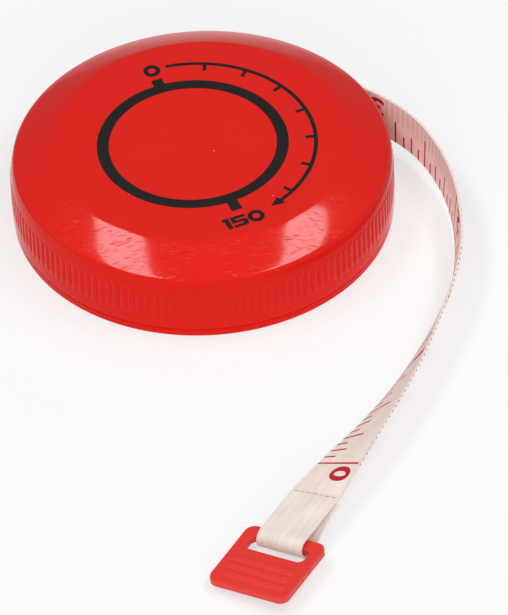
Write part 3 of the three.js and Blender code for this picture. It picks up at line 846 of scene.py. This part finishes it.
# %% Material of the case
SCRATCH_LENGTH = 1.5
SCRATCH_WIDTH = 0.11
SCRATCH_TURNS = (38, 18, -55)  # degrees
SCRATCH_CUT = (0.74, 0.78)  # a stroke fades in between these values of the noise
SCRATCH_ROUGHNESS = 0.3
DUST_SPACING = 5.2
DUST_RADIUS = 0.1
DUST_COVER = 0.7
CLEAN_ROUGHNESS = (0.08, 0.12)
DULL_TO = 9  # mm above the table
SHINY_FROM = 9.6
WALL_SHINE = 0.1
TOP_SHINE = 0.5
SHOULDER_MIDDLE = 10.5  # mm above the table
SHOULDER_HALF = 1.4
RUBBED_FROM = -9  # mm in front of the middle
RUBBED_TO = -16
RUBBED_LEAST = 0.08


def scratch_strokes(tree, where):
    """Short strokes at several angles: 1 in a stroke and 0 beside it."""
    strokes = 0
    for degrees in SCRATCH_TURNS:
        stretched = add_node(tree, "ShaderNodeMapping", {
            "Vector": where, "Rotation": (0, 0, math.radians(degrees)),
            "Scale": (1 / (SCRATCH_LENGTH * MM), 1 / (SCRATCH_WIDTH * MM), 1 / (SCRATCH_LENGTH * MM))})
        peaks = remap(tree, noise(tree, stretched.outputs[0], 1, 0), *SCRATCH_CUT)
        strokes = calculate(tree, "MAXIMUM", strokes, peaks)
    return strokes


def glossy_polystyrene():
    material, tree, shader = new_material("polystyrene_gloss_red", IOR=1.5)
    where = add_node(tree, "ShaderNodeTexCoord", {}).outputs["Object"]
    place = add_node(tree, "ShaderNodeSeparateXYZ", {"Vector": where}).outputs
    red = mix_colours(tree, noise(tree, where, 0.06 / MM, 2), linear("#DC160C"), linear("#E01B10"))
    cells = add_node(tree, "ShaderNodeTexVoronoi", {"Vector": where, "Scale": 1 / (DUST_SPACING * MM)})
    dust_edge = DUST_RADIUS / DUST_SPACING
    speck = remap(tree, cells.outputs["Distance"], dust_edge / 2, dust_edge, DUST_COVER, 0)
    dusty = mix_colours(tree, speck, red, linear("#F6D9D4"))
    tree.links.new(dusty, shader.inputs["Base Color"])
    scratches = scratch_strokes(tree, where)
    shoulder = calculate(tree, "COMPARE", place["Z"], SHOULDER_MIDDLE * MM, SHOULDER_HALF * MM)
    near = remap(tree, place["Y"], RUBBED_FROM * MM, RUBBED_TO * MM, RUBBED_LEAST)
    for mask in (shoulder, near):
        scratches = calculate(tree, "MULTIPLY", scratches, mask)
    gloss = remap(tree, noise(tree, where, 0.2 / MM, 4), 0.3, 0.7, *CLEAN_ROUGHNESS)
    roughness = calculate(tree, "MULTIPLY_ADD", scratches, SCRATCH_ROUGHNESS, gloss)
    tree.links.new(roughness, shader.inputs["Roughness"])
    add_bump(tree, shader, scratches, 0.6, 0.02, invert=True)
    shine = remap(tree, place["Z"], DULL_TO * MM, SHINY_FROM * MM, WALL_SHINE, TOP_SHINE)
    tree.links.new(shine, shader.inputs["Specular IOR Level"])
    return material


case_plastic = glossy_polystyrene()
print(case_plastic.name, "has", len(case_plastic.node_tree.nodes), "nodes")

# %% [markdown]
# ## Upper shell
# The shell has a flat top, a gently crowned shoulder, a rim and an upright wall. Inside, a post
# carries the reel and holds the end of its spring. The whole section is spun at once, in steps of
# eight points to each of the grip ribs that the wall will get, with more rows of points near the
# ends of the ribs.

# %% Upper shell
RIB_COUNT = 144
POINTS_PER_RIB = 8
RIB_LOW = 2.7
RIB_HIGH = 7.65
RIB_TOP_SLOPE = 0.4
RIB_FOOT_SLOPE = 1.3
BAND_RADIUS = 25.42  # of the plain wall above and below the ribs
SEAM_HEIGHT = 1.2
SEAM_FILLET = 0.2
CASE_HEIGHT = 11.95
CEILING = CASE_HEIGHT - SHELL_WALL
CEILING_RADIUS = 19.5
INNER_BEND = 8.66  # the height at which the inside of the wall turns in to the ceiling
TOP_FLAT_RADIUS = 19.8
TOP_FILLET = 1.6
SHOULDER_CROWN = 0.085
SHOULDER_SHARES = np.linspace(0.15, 0.75, 7)
RIM_HEIGHT = 9.45
RIM_FILLET = 0.9
POST_RADIUS = 2.8
POST_END = 4.65
PEG_RADIUS = 1.85
PEG_END = 3.65
end_rows = np.array((-0.1, 0, 0.15, 0.3, 0.45, 0.6, 0.75, 0.9, 1.05))
top_rows = RIB_HIGH - end_rows * RIB_TOP_SLOPE
foot_rows = RIB_LOW + end_rows[::-1] * RIB_FOOT_SLOPE
middle_rows = np.linspace(RIB_HIGH - 1, RIB_LOW + 2, 3)
wall_heights = np.concatenate([top_rows, middle_rows, foot_rows])


def on_shoulder(share):
    radius = TOP_FLAT_RADIUS + share * (WALL_RADIUS - TOP_FLAT_RADIUS)
    height = CASE_HEIGHT + share * (RIM_HEIGHT - CASE_HEIGHT)
    return radius, height + SHOULDER_CROWN * 4 * share * (1 - share)


shell = turned([
    (0, CASE_HEIGHT),
    (TOP_FLAT_RADIUS / 2, CASE_HEIGHT),
    (TOP_FLAT_RADIUS, CASE_HEIGHT, TOP_FILLET),
    *[on_shoulder(share) for share in SHOULDER_SHARES],
    (WALL_RADIUS, RIM_HEIGHT, RIM_FILLET),
    *[(BAND_RADIUS, height) for height in wall_heights],
    (BAND_RADIUS, SEAM_HEIGHT, SEAM_FILLET),
    (WALL_INNER, SEAM_HEIGHT),
    (WALL_INNER, INNER_BEND),
    (CEILING_RADIUS, CEILING),
    (POST_RADIUS, CEILING),
    (POST_RADIUS, POST_END),
    (PEG_RADIUS, POST_END),
    (PEG_RADIUS, PEG_END),
    (0, PEG_END),
], RIB_COUNT * POINTS_PER_RIB)
print("section spun in", RIB_COUNT * POINTS_PER_RIB, "steps")

# %% [markdown]
# ## Grip ribs
# The wall has 144 fine ribs between narrow grooves. Copies of one rib would leave seams, so the
# points of the wall are moved by one formula. They are drawn together at the grooves, where the form
# is finest, and moved in or out, and this fades at both ends of the ribs.

# %% Grip ribs
GROOVE_DEPTH = 0.18
GROOVE_WIDTH = 0.17
GATHER = 1.5  # above 1 it draws the points together at the grooves
ON_WALL = 0.01


def fade(height):
    """How far a rib is formed at a height: fully in the middle, and running out at both ends."""
    from_end = np.minimum((height - RIB_LOW) / RIB_FOOT_SLOPE, (RIB_HIGH - height) / RIB_TOP_SLOPE)
    share = np.clip(from_end, 0, 1)
    return share * share * (3 - 2 * share)


places = places_of(shell)
radius = np.hypot(places[:, 0], places[:, 1])
ribs_round = np.arctan2(places[:, 1], places[:, 0]) * RIB_COUNT / math.tau
groove = np.round(ribs_round)
from_groove = ribs_round - groove
drawn_in = np.sign(from_groove) * np.abs(2 * from_groove) ** GATHER / 2
from_groove_mm = drawn_in * math.tau * CASE_RADIUS / RIB_COUNT
rib = CASE_RADIUS - BAND_RADIUS - GROOVE_DEPTH * np.exp(-(from_groove_mm / GROOVE_WIDTH) ** 2)
new_radius = BAND_RADIUS + rib * fade(places[:, 2])
new_angle = (groove + drawn_in) * math.tau / RIB_COUNT
in_ribs = np.abs(radius - BAND_RADIUS) < ON_WALL
in_ribs &= (places[:, 2] < RIB_HIGH) & (places[:, 2] > RIB_LOW)
places[in_ribs, 0] = (new_radius * np.cos(new_angle))[in_ribs]
places[in_ribs, 1] = (new_radius * np.sin(new_angle))[in_ribs]
move_to(shell, places)
print("points moved to form ribs:", in_ribs.sum())

# %% [markdown]
# ## Slots of the shell
# The tape leaves through an upright slot that lies along its route, and the end of the mainspring
# is held in a slot across the post. Two blocks are joined and cut out in one go.

# %% Slots of the shell
SLOT_DEPTH = 6 * SHELL_WALL  # right through the wall, which it meets at a slant
WEB_TOP = 5.85
POST_SLOT = 0.6
OVERSHOOT = 1  # a cutter reaches past what it cuts
TAPE_TOP = 8.65
EXIT_PLAY = 0.35
exit_step = np.argmin(np.linalg.norm(tape_middle[:, :2] - EXIT[:2], axis=1))
exit_heading = math.atan2(tape_along[exit_step, 1], tape_along[exit_step, 0])
slot_low = SEAM_HEIGHT - SHELL_WALL
slot_high = TAPE_TOP + EXIT_PLAY
tape_slot = block(
    (SLOT_DEPTH, TAPE_THICKNESS + 2 * EXIT_PLAY, slot_high - slot_low),
    (EXIT[0], EXIT[1], (slot_low + slot_high) / 2), exit_heading)
spring_slot = block(
    (2 * POST_RADIUS + OVERSHOOT, POST_SLOT, CEILING - WEB_TOP), (0, 0, (CEILING + WEB_TOP) / 2))
cut(shell, join([tape_slot, spring_slot]))
finish_piece(shell, "case_upper_shell", "case", case_plastic, ["case_top"])

# %% [markdown]
# ## Lower shell
# The photograph shows only its lip, set in a little under the wall. Below it is a flat base with a
# dished hole for the release button. Inside stand a spigot that snaps into the upper shell, open
# where the tape passes, and a collar whose two slots keep the button from turning.

# %% Lower shell
SEAT = 0.1
LIP_INSET = 0.12
LIP_RADIUS = BAND_RADIUS - LIP_INSET
LIP_FILLET = 0.2
FOOT_FILLET = 0.15
SPIGOT_RADIUS = WALL_INNER - SEAT
SPIGOT_WALL = 0.8
SPIGOT_HEIGHT = 1.3
SPIGOT_TOP = SEAM_HEIGHT + SPIGOT_HEIGHT
BASE_PLATE = 0.9
HOLE_RADIUS = 5.3
COLLAR_RADIUS = 6.3
COLLAR_TOP = 2.4
DISH_RADIUS = 7.8
DISH_DEPTH = 0.4
KEY_SLOT = 2.2
TAPE_GAP_ANGLE = math.radians(35)
TAPE_GAP = 21.8
GAP_RADIUS = 23.3
GAP_DEPTH = 5.6
LOWER_STEPS = 288
lower = turned([
    (DISH_RADIUS, 0),
    (LIP_RADIUS, 0, FOOT_FILLET),
    (LIP_RADIUS, SEAM_HEIGHT - SEAT, LIP_FILLET),
    (SPIGOT_RADIUS, SEAM_HEIGHT - SEAT),
    (SPIGOT_RADIUS, SPIGOT_TOP),
    (SPIGOT_RADIUS - SPIGOT_WALL, SPIGOT_TOP),
    (SPIGOT_RADIUS - SPIGOT_WALL, BASE_PLATE),
    (COLLAR_RADIUS, BASE_PLATE),
    (COLLAR_RADIUS, COLLAR_TOP),
    (HOLE_RADIUS, COLLAR_TOP),
    (HOLE_RADIUS, DISH_DEPTH),
], LOWER_STEPS, closed=True)
cut(lower, block(
    (2 * (COLLAR_RADIUS + OVERSHOOT), KEY_SLOT, COLLAR_TOP), (0, 0, BASE_PLATE + COLLAR_TOP / 2)))
cut(lower, block(
    (GAP_DEPTH, TAPE_GAP, SPIGOT_TOP),
    (GAP_RADIUS * math.cos(TAPE_GAP_ANGLE), GAP_RADIUS * math.sin(TAPE_GAP_ANGLE),
     SEAM_HEIGHT - SEAT + SPIGOT_TOP / 2), TAPE_GAP_ANGLE))
finish_piece(lower, "case_lower_shell", "case", case_plastic, ["case_bottom"])

# %% [markdown]
# ## Shapes of ink
# The flat top is pad printed in black. Ink is a few hundredths of a millimetre thick, so each mark
# is a thin closed solid that sits in the top. Four shapes are enough for the dial: an arc, a ring, a
# short bar and a flat form with any outline. Marks only just meet, because faces that share a place
# show as dark patches.

# %% Shapes of ink
INK_THICKNESS = 0.05
half_ink = INK_THICKNESS / 2


def polar(radius, degrees):
    angle = math.radians(degrees)
    return Vector((radius * math.cos(angle), radius * math.sin(angle), 0))


def band(inner, outer, start, end, steps):
    """A flat arc of ink between two radii: one cross face, spun from start to end in degrees.

    The operator turns clockwise for a positive angle, so the angle is negated.
    """
    radial = polar(1, start)
    corners = [radial * inner, radial * outer, radial * outer, radial * inner]
    heights = [-half_ink, -half_ink, half_ink, half_ink]
    points = [(c.x, c.y, z) for c, z in zip(corners, heights)]
    piece = extruded_line(points + points[:1])
    bpy.ops.mesh.edge_face_add()
    bpy.ops.mesh.spin(
        steps=steps, angle=-math.radians(end - start), center=(0, 0, 0), axis=(0, 0, 1))
    leave_edit_mode()
    return piece


def flat_shape(outline):
    """An outline of (x, y) corners, filled and made as thick as the ink."""
    corners = [(x, y, -half_ink) for x, y in outline]
    piece = extruded_line(corners + corners[:1])
    bpy.ops.mesh.edge_face_add()
    bpy.ops.mesh.extrude_region_move(TRANSFORM_OT_translate={"value": (0, 0, INK_THICKNESS)})
    leave_edit_mode()
    return piece


def ink_ring(inner, outer, steps):
    corners = [(inner, -half_ink), (outer, -half_ink), (outer, half_ink), (inner, half_ink)]
    return turned(corners, steps, closed=True)


def set_down(piece, place, turn=0):
    piece.location = (*place, 0)
    piece.rotation_euler.z = math.radians(turn)
    apply_place(piece)
    return piece


def spoke(degrees, inner, outer, width):
    size = (outer - inner, width, INK_THICKNESS)
    return block(size, polar((inner + outer) / 2, degrees), math.radians(degrees))

# %% [markdown]
# ## Arc of the dial
# An arc with seven ticks runs from the 0 round to an arrow before the 150, and shows which way the
# tape is read. The ticks stand on the inside of the arc, each a short bar.

# %% Arc of the dial
ARC_MIDDLE = Vector((0.07, -0.18, 0))
ARC_INNER = 16
ARC_OUTER = 16.54
ARC_RADIUS = (ARC_INNER + ARC_OUTER) / 2
ARC_FROM = 101.3
TICKS_FROM = 102.8
DIAL_TICK_STEP = 20.2
DIAL_TICK_COUNT = 7
DIAL_TICK_LENGTH = 1.1
DIAL_TICK_WIDTH = 0.5
ARROW_TIP = -52.6
ARROW_LENGTH = 1.75
ARROW_WIDTH = 1.65
ARROW_BASE = ARROW_TIP + math.degrees(ARROW_LENGTH / ARC_RADIUS)


def arrow_head():
    tip = polar(ARC_RADIUS, ARROW_TIP)
    left = polar(ARC_RADIUS - ARROW_WIDTH / 2, ARROW_BASE)
    right = polar(ARC_RADIUS + ARROW_WIDTH / 2, ARROW_BASE)
    return flat_shape([(p.x, p.y) for p in (tip, right, left)])


arc_parts = [band(ARC_INNER, ARC_OUTER, ARC_FROM, ARROW_BASE, steps=100), arrow_head()]
for i in range(1, DIAL_TICK_COUNT + 1):
    arc_parts.append(spoke(
        TICKS_FROM - i * DIAL_TICK_STEP, ARC_INNER - DIAL_TICK_LENGTH, ARC_INNER, DIAL_TICK_WIDTH))
arc = set_down(join(arc_parts), ARC_MIDDLE.xy)
print("arc with", DIAL_TICK_COUNT, "ticks and an arrow")

# %% [markdown]
# ## Ring and numbers of the dial
# A broad ring with two short arms stands in the middle. One arm points to the 0, and one to 150, the
# tape's length in centimetres. The figures are square and wide, so they are drawn from their own
# outlines and not from a font. All marks are joined, because they are one print.

# %% Ring and numbers of the dial
DIAL_MIDDLE = Vector((-1.05, -0.55, CASE_HEIGHT))
RING_OUTER = 12.73
RING_INNER = 11.15
ARM_ENDS = {108.6: 13.93, -68: 14.56}  # degrees: radius
ARM_WIDTH = 1.5
ARM_OVERLAP = 0.02
ZERO_PLACE = (-4.98, 15.0)
ZERO_RADII = (0.52, 1.14)
TEXT_TILT = 21
TEXT_LOW = -17.75
ONE = [(0.32, 0), (0.98, 0), (0.98, 2.12), (0.06, 2.12), (0, 1.66), (0.32, 1.66)]
FIVE = [
    (0, 0), (1.6, 0), (1.95, 0.1), (2.13, 0.35), (2.17, 0.66), (2.13, 0.97), (1.95, 1.22), (1.6, 1.32),
    (0.64, 1.32), (0.64, 1.62), (2.1, 1.62), (2.1, 2.12), (0, 2.12), (0, 0.84), (1.36, 0.84),
    (1.48, 0.76), (1.5, 0.67), (1.48, 0.58), (1.36, 0.5), (0, 0.5),
]
TEXT_HEIGHT = 2.12
ONE_LEFT = -2.56
FIVE_LEFT = -1.38
LAST_ZERO = 2.03
hundred_and_fifty = join([
    set_down(flat_shape(ONE), (ONE_LEFT, TEXT_LOW)),
    set_down(flat_shape(FIVE), (FIVE_LEFT, TEXT_LOW)),
    set_down(ink_ring(*ZERO_RADII, steps=48), (LAST_ZERO, TEXT_LOW + TEXT_HEIGHT / 2))])
set_down(hundred_and_fifty, (0, 0), TEXT_TILT)
zero = set_down(ink_ring(*ZERO_RADII, steps=48), ZERO_PLACE)
dial_parts = [ink_ring(RING_INNER, RING_OUTER, steps=180), arc, hundred_and_fifty, zero]
for angle, end in ARM_ENDS.items():
    dial_parts.append(spoke(angle, RING_OUTER - ARM_OVERLAP, end, ARM_WIDTH))
dial = join(dial_parts)
dial.location = DIAL_MIDDLE
apply_place(dial)
black_ink = printed_ink("pad_print_ink_black", "#1E1A19", "#161312", 6)
finish_piece(dial, "dial_print", "case", black_ink)

# %% [markdown]
# ## Materials of the works
# The button in the underside is black ABS with a fine spark texture, which gives a soft grey shine.
# Behind it, out of sight, are a reel of acetal, milky and a little waxy, springs of tempered steel,
# grey with a dull gleam, and a brake of rubber with hardly any shine. One function with a fine grain
# serves them all. The CAD shapes of the reel and the brake are right as they are, so these only get
# their materials.

# %% Materials of the works
ROUGHNESS_SWAY = 0.08


def moulded_grain(name, light_hex, dark_hex, roughness, grain_mm, depth_mm, metallic=0.0):
    """An even material with a fine grain, as of sparked plastic, drawn steel or rubber."""
    material, tree, shader = new_material(name, Metallic=metallic)
    where = add_node(tree, "ShaderNodeTexCoord", {}).outputs["Object"]
    grain = noise(tree, where, 1 / (grain_mm * MM), 2)
    colour = mix_colours(tree, grain, linear(dark_hex), linear(light_hex))
    tree.links.new(colour, shader.inputs["Base Color"])
    rough = remap(tree, grain, 0, 1, roughness - ROUGHNESS_SWAY, roughness + ROUGHNESS_SWAY)
    tree.links.new(rough, shader.inputs["Roughness"])
    add_bump(tree, shader, grain, 0.4, depth_mm)
    return material


black_abs = moulded_grain("abs_spark_black", "#333335", "#262628", 0.5, 0.25, 0.03)
acetal = moulded_grain("acetal_natural", "#ECE9E2", "#E2DED5", 0.45, 1.5, 0.01)
spring_steel = moulded_grain("spring_steel_tempered", "#8F949C", "#777C85", 0.32, 0.4, 0.005, 1.0)
brake_rubber = moulded_grain("nitrile_rubber", "#43403D", "#35322F", 0.85, 0.3, 0.02)
WORKS = {
    "reel": acetal, "reel_flange": acetal, "spring_cover": black_abs, "brake_ring": brake_rubber,
}
for name, material in WORKS.items():
    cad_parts[name].data.materials.clear()
    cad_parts[name].data.materials.append(material)
print("works given materials:", len(WORKS))

# %% [markdown]
# ## Release button
# A thumb presses it from below to let the tape run back. It is a low cup with a wide flange inside
# the case, turned like the shells, with two keys that run in the collar's slots.

# %% Release button
BUTTON_RADIUS = 5
BUTTON_RECESS = 0.35
BUTTON_FILLET = 0.3
FLANGE_LOW = 2.7
FLANGE_TOP = 3.4
FLANGE_RADIUS = 12.2
CUP_RADIUS = 2.85
CUP_FLOOR = 1.35
KEY_WIDTH = 1.6
KEY_REACH = 12
KEY_LOW = 1.2
BUTTON_STEPS = 128
button = turned([
    (0, BUTTON_RECESS),
    (BUTTON_RADIUS, BUTTON_RECESS, BUTTON_FILLET),
    (BUTTON_RADIUS, FLANGE_LOW),
    (FLANGE_RADIUS, FLANGE_LOW),
    (FLANGE_RADIUS, FLANGE_TOP),
    (CUP_RADIUS, FLANGE_TOP),
    (CUP_RADIUS, CUP_FLOOR),
    (0, CUP_FLOOR),
], BUTTON_STEPS)
key_middle = (CUP_RADIUS + KEY_REACH / 2) / 2
for side in (-1, 1):
    key = block(
        (KEY_REACH / 2 - CUP_RADIUS - SEAT, KEY_WIDTH, FLANGE_TOP - KEY_LOW - SEAT),
        (side * key_middle, 0, (FLANGE_TOP + KEY_LOW - SEAT) / 2))
    cut(button, key, "UNION")
finish_piece(button, "release_button_cap", "button", black_abs, ["release_button"])

# %% [markdown]
# ## Wound tape
# The rest of the tape lies on the drum. It is out of sight, but a plain ring would not be a tape, so
# one strip is wound in about eleven turns, into a spiral that fills the ring of the CAD model.

# %% Wound tape
DRUM_RADIUS = 15.1
WOUND_RADIUS = 19.5
TURN_PITCH = 0.36
WOUND_THICKNESS = 0.8 * TURN_PITCH  # a little air between the turns
TAPE_LOW = 1.95
STEPS_PER_TURN = 72
turns = (WOUND_RADIUS - DRUM_RADIUS) / TURN_PITCH - 1
wound = strip(int(turns * STEPS_PER_TURN), 1)
flat = places_of(wound)
spiral_radius = DRUM_RADIUS + TURN_PITCH * (0.5 + flat[:, 0] * turns)
spiral_angle = flat[:, 0] * turns * math.tau
move_to(wound, np.stack([
    spiral_radius * np.cos(spiral_angle), spiral_radius * np.sin(spiral_angle),
    TAPE_LOW + flat[:, 1] * TAPE_WIDTH], axis=-1))
apply_modifier(wound, "SOLIDIFY", thickness=WOUND_THICKNESS, offset=0)
wound_length = math.tau * (DRUM_RADIUS + WOUND_RADIUS) / 2 * turns
wound_cloth = woven_polyester("woven_polyester_wound", wound_length, "#F9EDE3", "#F5E0D7", 0.12, 0.32)
finish_piece(wound, "tape_on_reel", "reel", wound_cloth, ["tape_wound"])

# %% [markdown]
# ## Button spring
# A coil of round wire stands between the button and the post. A circle is wound upwards by a screw
# modifier, and its two ends are closed.

# %% Button spring
COIL_RADIUS = 2.2
COIL_WIRE = 0.35
COIL_TURNS = 4
COIL_STEPS = 32
WIRE_SIDES = 12
COIL_FOOT = CUP_FLOOR + SEAT
COIL_TOP = POST_END - SEAT
bpy.ops.object.select_all(action="DESELECT")
bpy.ops.mesh.primitive_circle_add(
    vertices=WIRE_SIDES, radius=COIL_WIRE / 2, location=(COIL_RADIUS, 0, COIL_FOOT + COIL_WIRE / 2),
    rotation=(math.tau / 4, 0, 0))
coil = bpy.context.object
apply_place(coil)
pitch = (COIL_TOP - COIL_FOOT - COIL_WIRE) / COIL_TURNS
apply_modifier(
    coil, "SCREW", axis="Z", screw_offset=pitch, iterations=COIL_TURNS, steps=COIL_STEPS,
    render_steps=COIL_STEPS)
select_only(coil)
bpy.ops.object.mode_set(mode="EDIT")
bpy.ops.mesh.select_all(action="SELECT")
bpy.ops.mesh.fill_holes(sides=WIRE_SIDES)
leave_edit_mode()
finish_piece(coil, "button_coil_spring", "button", spring_steel, ["button_spring"])
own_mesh(coil)

# %% [markdown]
# ## Mainspring
# A flat steel strip on edge pulls the tape back. Its inner end sits in the slot of the post and
# stays still, and its outer end is hooked into the drum and turns with it. So it is split at the
# post, into a short tongue on the case and a spiral on the reel.

# %% Mainspring
STEEL_THICKNESS = 0.2
STEEL_TURNS = 7
HOOK_DEPTH = 0.5
TONGUE_END = POST_RADIUS + 0.05  # just out of the post, and clear of the spiral
steel_low, steel_high = (np.array(corner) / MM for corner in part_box("mainspring"))
drum_inner = steel_high[0] - HOOK_DEPTH
first_radius = POST_RADIUS + STEEL_THICKNESS + SEAT
last_radius = drum_inner - STEEL_THICKNESS - SEAT


def steel_strip(path):
    """A strip on edge along a path of (x, y)."""
    piece = strip(len(path) - 1, 1)
    flat = places_of(piece)
    column = np.rint(flat[:, 0] * (len(path) - 1)).astype(int)
    heights = steel_low[2] + flat[:, 1] * (steel_high[2] - steel_low[2])
    move_to(piece, np.column_stack([path[column], heights]))
    apply_modifier(piece, "SOLIDIFY", thickness=STEEL_THICKNESS, offset=0)
    return piece


wind = np.linspace(0, 1, STEEL_TURNS * STEPS_PER_TURN + 1)
reach = first_radius + wind * (last_radius - first_radius)
wind_angle = wind * STEEL_TURNS * math.tau
spiral = np.column_stack([reach * np.cos(wind_angle), reach * np.sin(wind_angle)])
spiral = np.vstack([spiral, (drum_inner + HOOK_DEPTH, 0)])
finish_piece(
    steel_strip(spiral), "mainspring_spiral", "reel", spring_steel, ["mainspring"])
tongue = steel_strip(np.array([(POST_RADIUS / 3, 0), (TONGUE_END, 0)]))
finish_piece(tongue, "mainspring_tongue", "case", spring_steel)

# %% [markdown]
# ## Floor
# The object lies on a white table. Away from it the table falls off to grey, because a glossy case
# would mirror a wide white floor on its far side. The floor is lit up a little for the camera and
# for reflections, so that it is white, but it keeps a share of its shading and so the object's
# shadow.

# %% Floor
FLOOR_SIZE = 6  # metres
FLOOR_DROP = 0.02 * MM  # just clear of the base
FLOOR_PAINT = 0.9
FLOOR_SHADING = 0.4
FLOOR_MIDDLE = (0, -26 * MM, 0)
WHITE_TO = 80 * MM
GREY_FROM = 170 * MM
FAR_GREY = 0.55
bpy.ops.object.select_all(action="DESELECT")
bpy.ops.mesh.primitive_plane_add(size=FLOOR_SIZE, location=(0, 0, -FLOOR_DROP))
floor = bpy.context.object
floor.name = "floor"
white, tree, shader = new_material("white_table", Roughness=0.9, Specular_IOR_Level=0.2)
where = add_node(tree, "ShaderNodeTexCoord", {}).outputs["Object"]
far = add_node(tree, "ShaderNodeVectorMath", {0: where, 1: FLOOR_MIDDLE}, operation="DISTANCE")
pale = remap(tree, far.outputs["Value"], WHITE_TO, GREY_FROM, 1, FAR_GREY, curve="SMOOTHSTEP")
tree.links.new(calculate(tree, "MULTIPLY", pale, FLOOR_PAINT), shader.inputs["Base Color"])
ray = add_node(tree, "ShaderNodeLightPath", {}).outputs
seen = ray["Is Camera Ray"]
for kind in ("Is Glossy Ray", "Is Transmission Ray"):
    seen = calculate(tree, "MAXIMUM", seen, ray[kind])
share = calculate(tree, "MULTIPLY", seen, 1 - FLOOR_SHADING)
glow = add_node(tree, "ShaderNodeEmission", {"Color": pale, "Strength": 1})
mixed = add_node(tree, "ShaderNodeMixShader", {0: share, 1: shader.outputs[0], 2: glow.outputs[0]})
tree.links.new(mixed.outputs[0], tree.nodes["Material Output"].inputs["Surface"])
floor.data.materials.append(white)
print("floor white to", round(WHITE_TO / MM), "mm from the object's middle")

# %% [markdown]
# ## Light
# Two strip softboxes hang above, one to the left and one to the right, as for a catalogue. They show
# as two patches on the near shoulder of the case. A large fill from below the camera lights the wall,
# and is kept out of reflections, as a polarising filter would do. A dim white world softens the
# shadows.

# %% Lamps and world
STRIPS = {"strip_left": (-0.212, 0.132), "strip_right": (0.258, 0.125)}  # metres to the side, and width
STRIP_PLACE = (-0.05, 0.5)  # metres along y and z: a little to the front, and up
STRIP_LENGTH = 0.45
STRIP_RADIANCE = 6.2
FILL_PLACE = (0, -1.32, 0.82)
FILL_SIZE = 1.2
FILL_RADIANCE = 2.6
FILL_TILT = math.radians(58)
WORLD_LIGHT = 0.22


def softbox(name, place, size, radiance):
    """A rectangular lamp that faces the object. Its power follows from how bright its face looks."""
    bpy.ops.object.light_add(type="AREA", location=place)
    lamp = bpy.context.object
    lamp.name = name
    lamp.data.shape = "RECTANGLE"
    lamp.data.size, lamp.data.size_y = size
    lamp.data.energy = radiance * math.pi * size[0] * size[1]
    return lamp


for name, (x, width) in STRIPS.items():
    softbox(name, (x, *STRIP_PLACE), (width, STRIP_LENGTH), STRIP_RADIANCE)
fill = softbox("fill_front", FILL_PLACE, (FILL_SIZE, FILL_SIZE), FILL_RADIANCE)
fill.rotation_euler.x = FILL_TILT
fill.visible_glossy = False

world = bpy.context.scene.world or bpy.data.worlds.new("studio")
bpy.context.scene.world = world
world.use_nodes = True
background = world.node_tree.nodes["Background"]
background.inputs["Color"].default_value = (1, 1, 1, 1)
background.inputs["Strength"].default_value = WORLD_LIGHT
bpy.context.scene.view_settings.view_transform = "Standard"
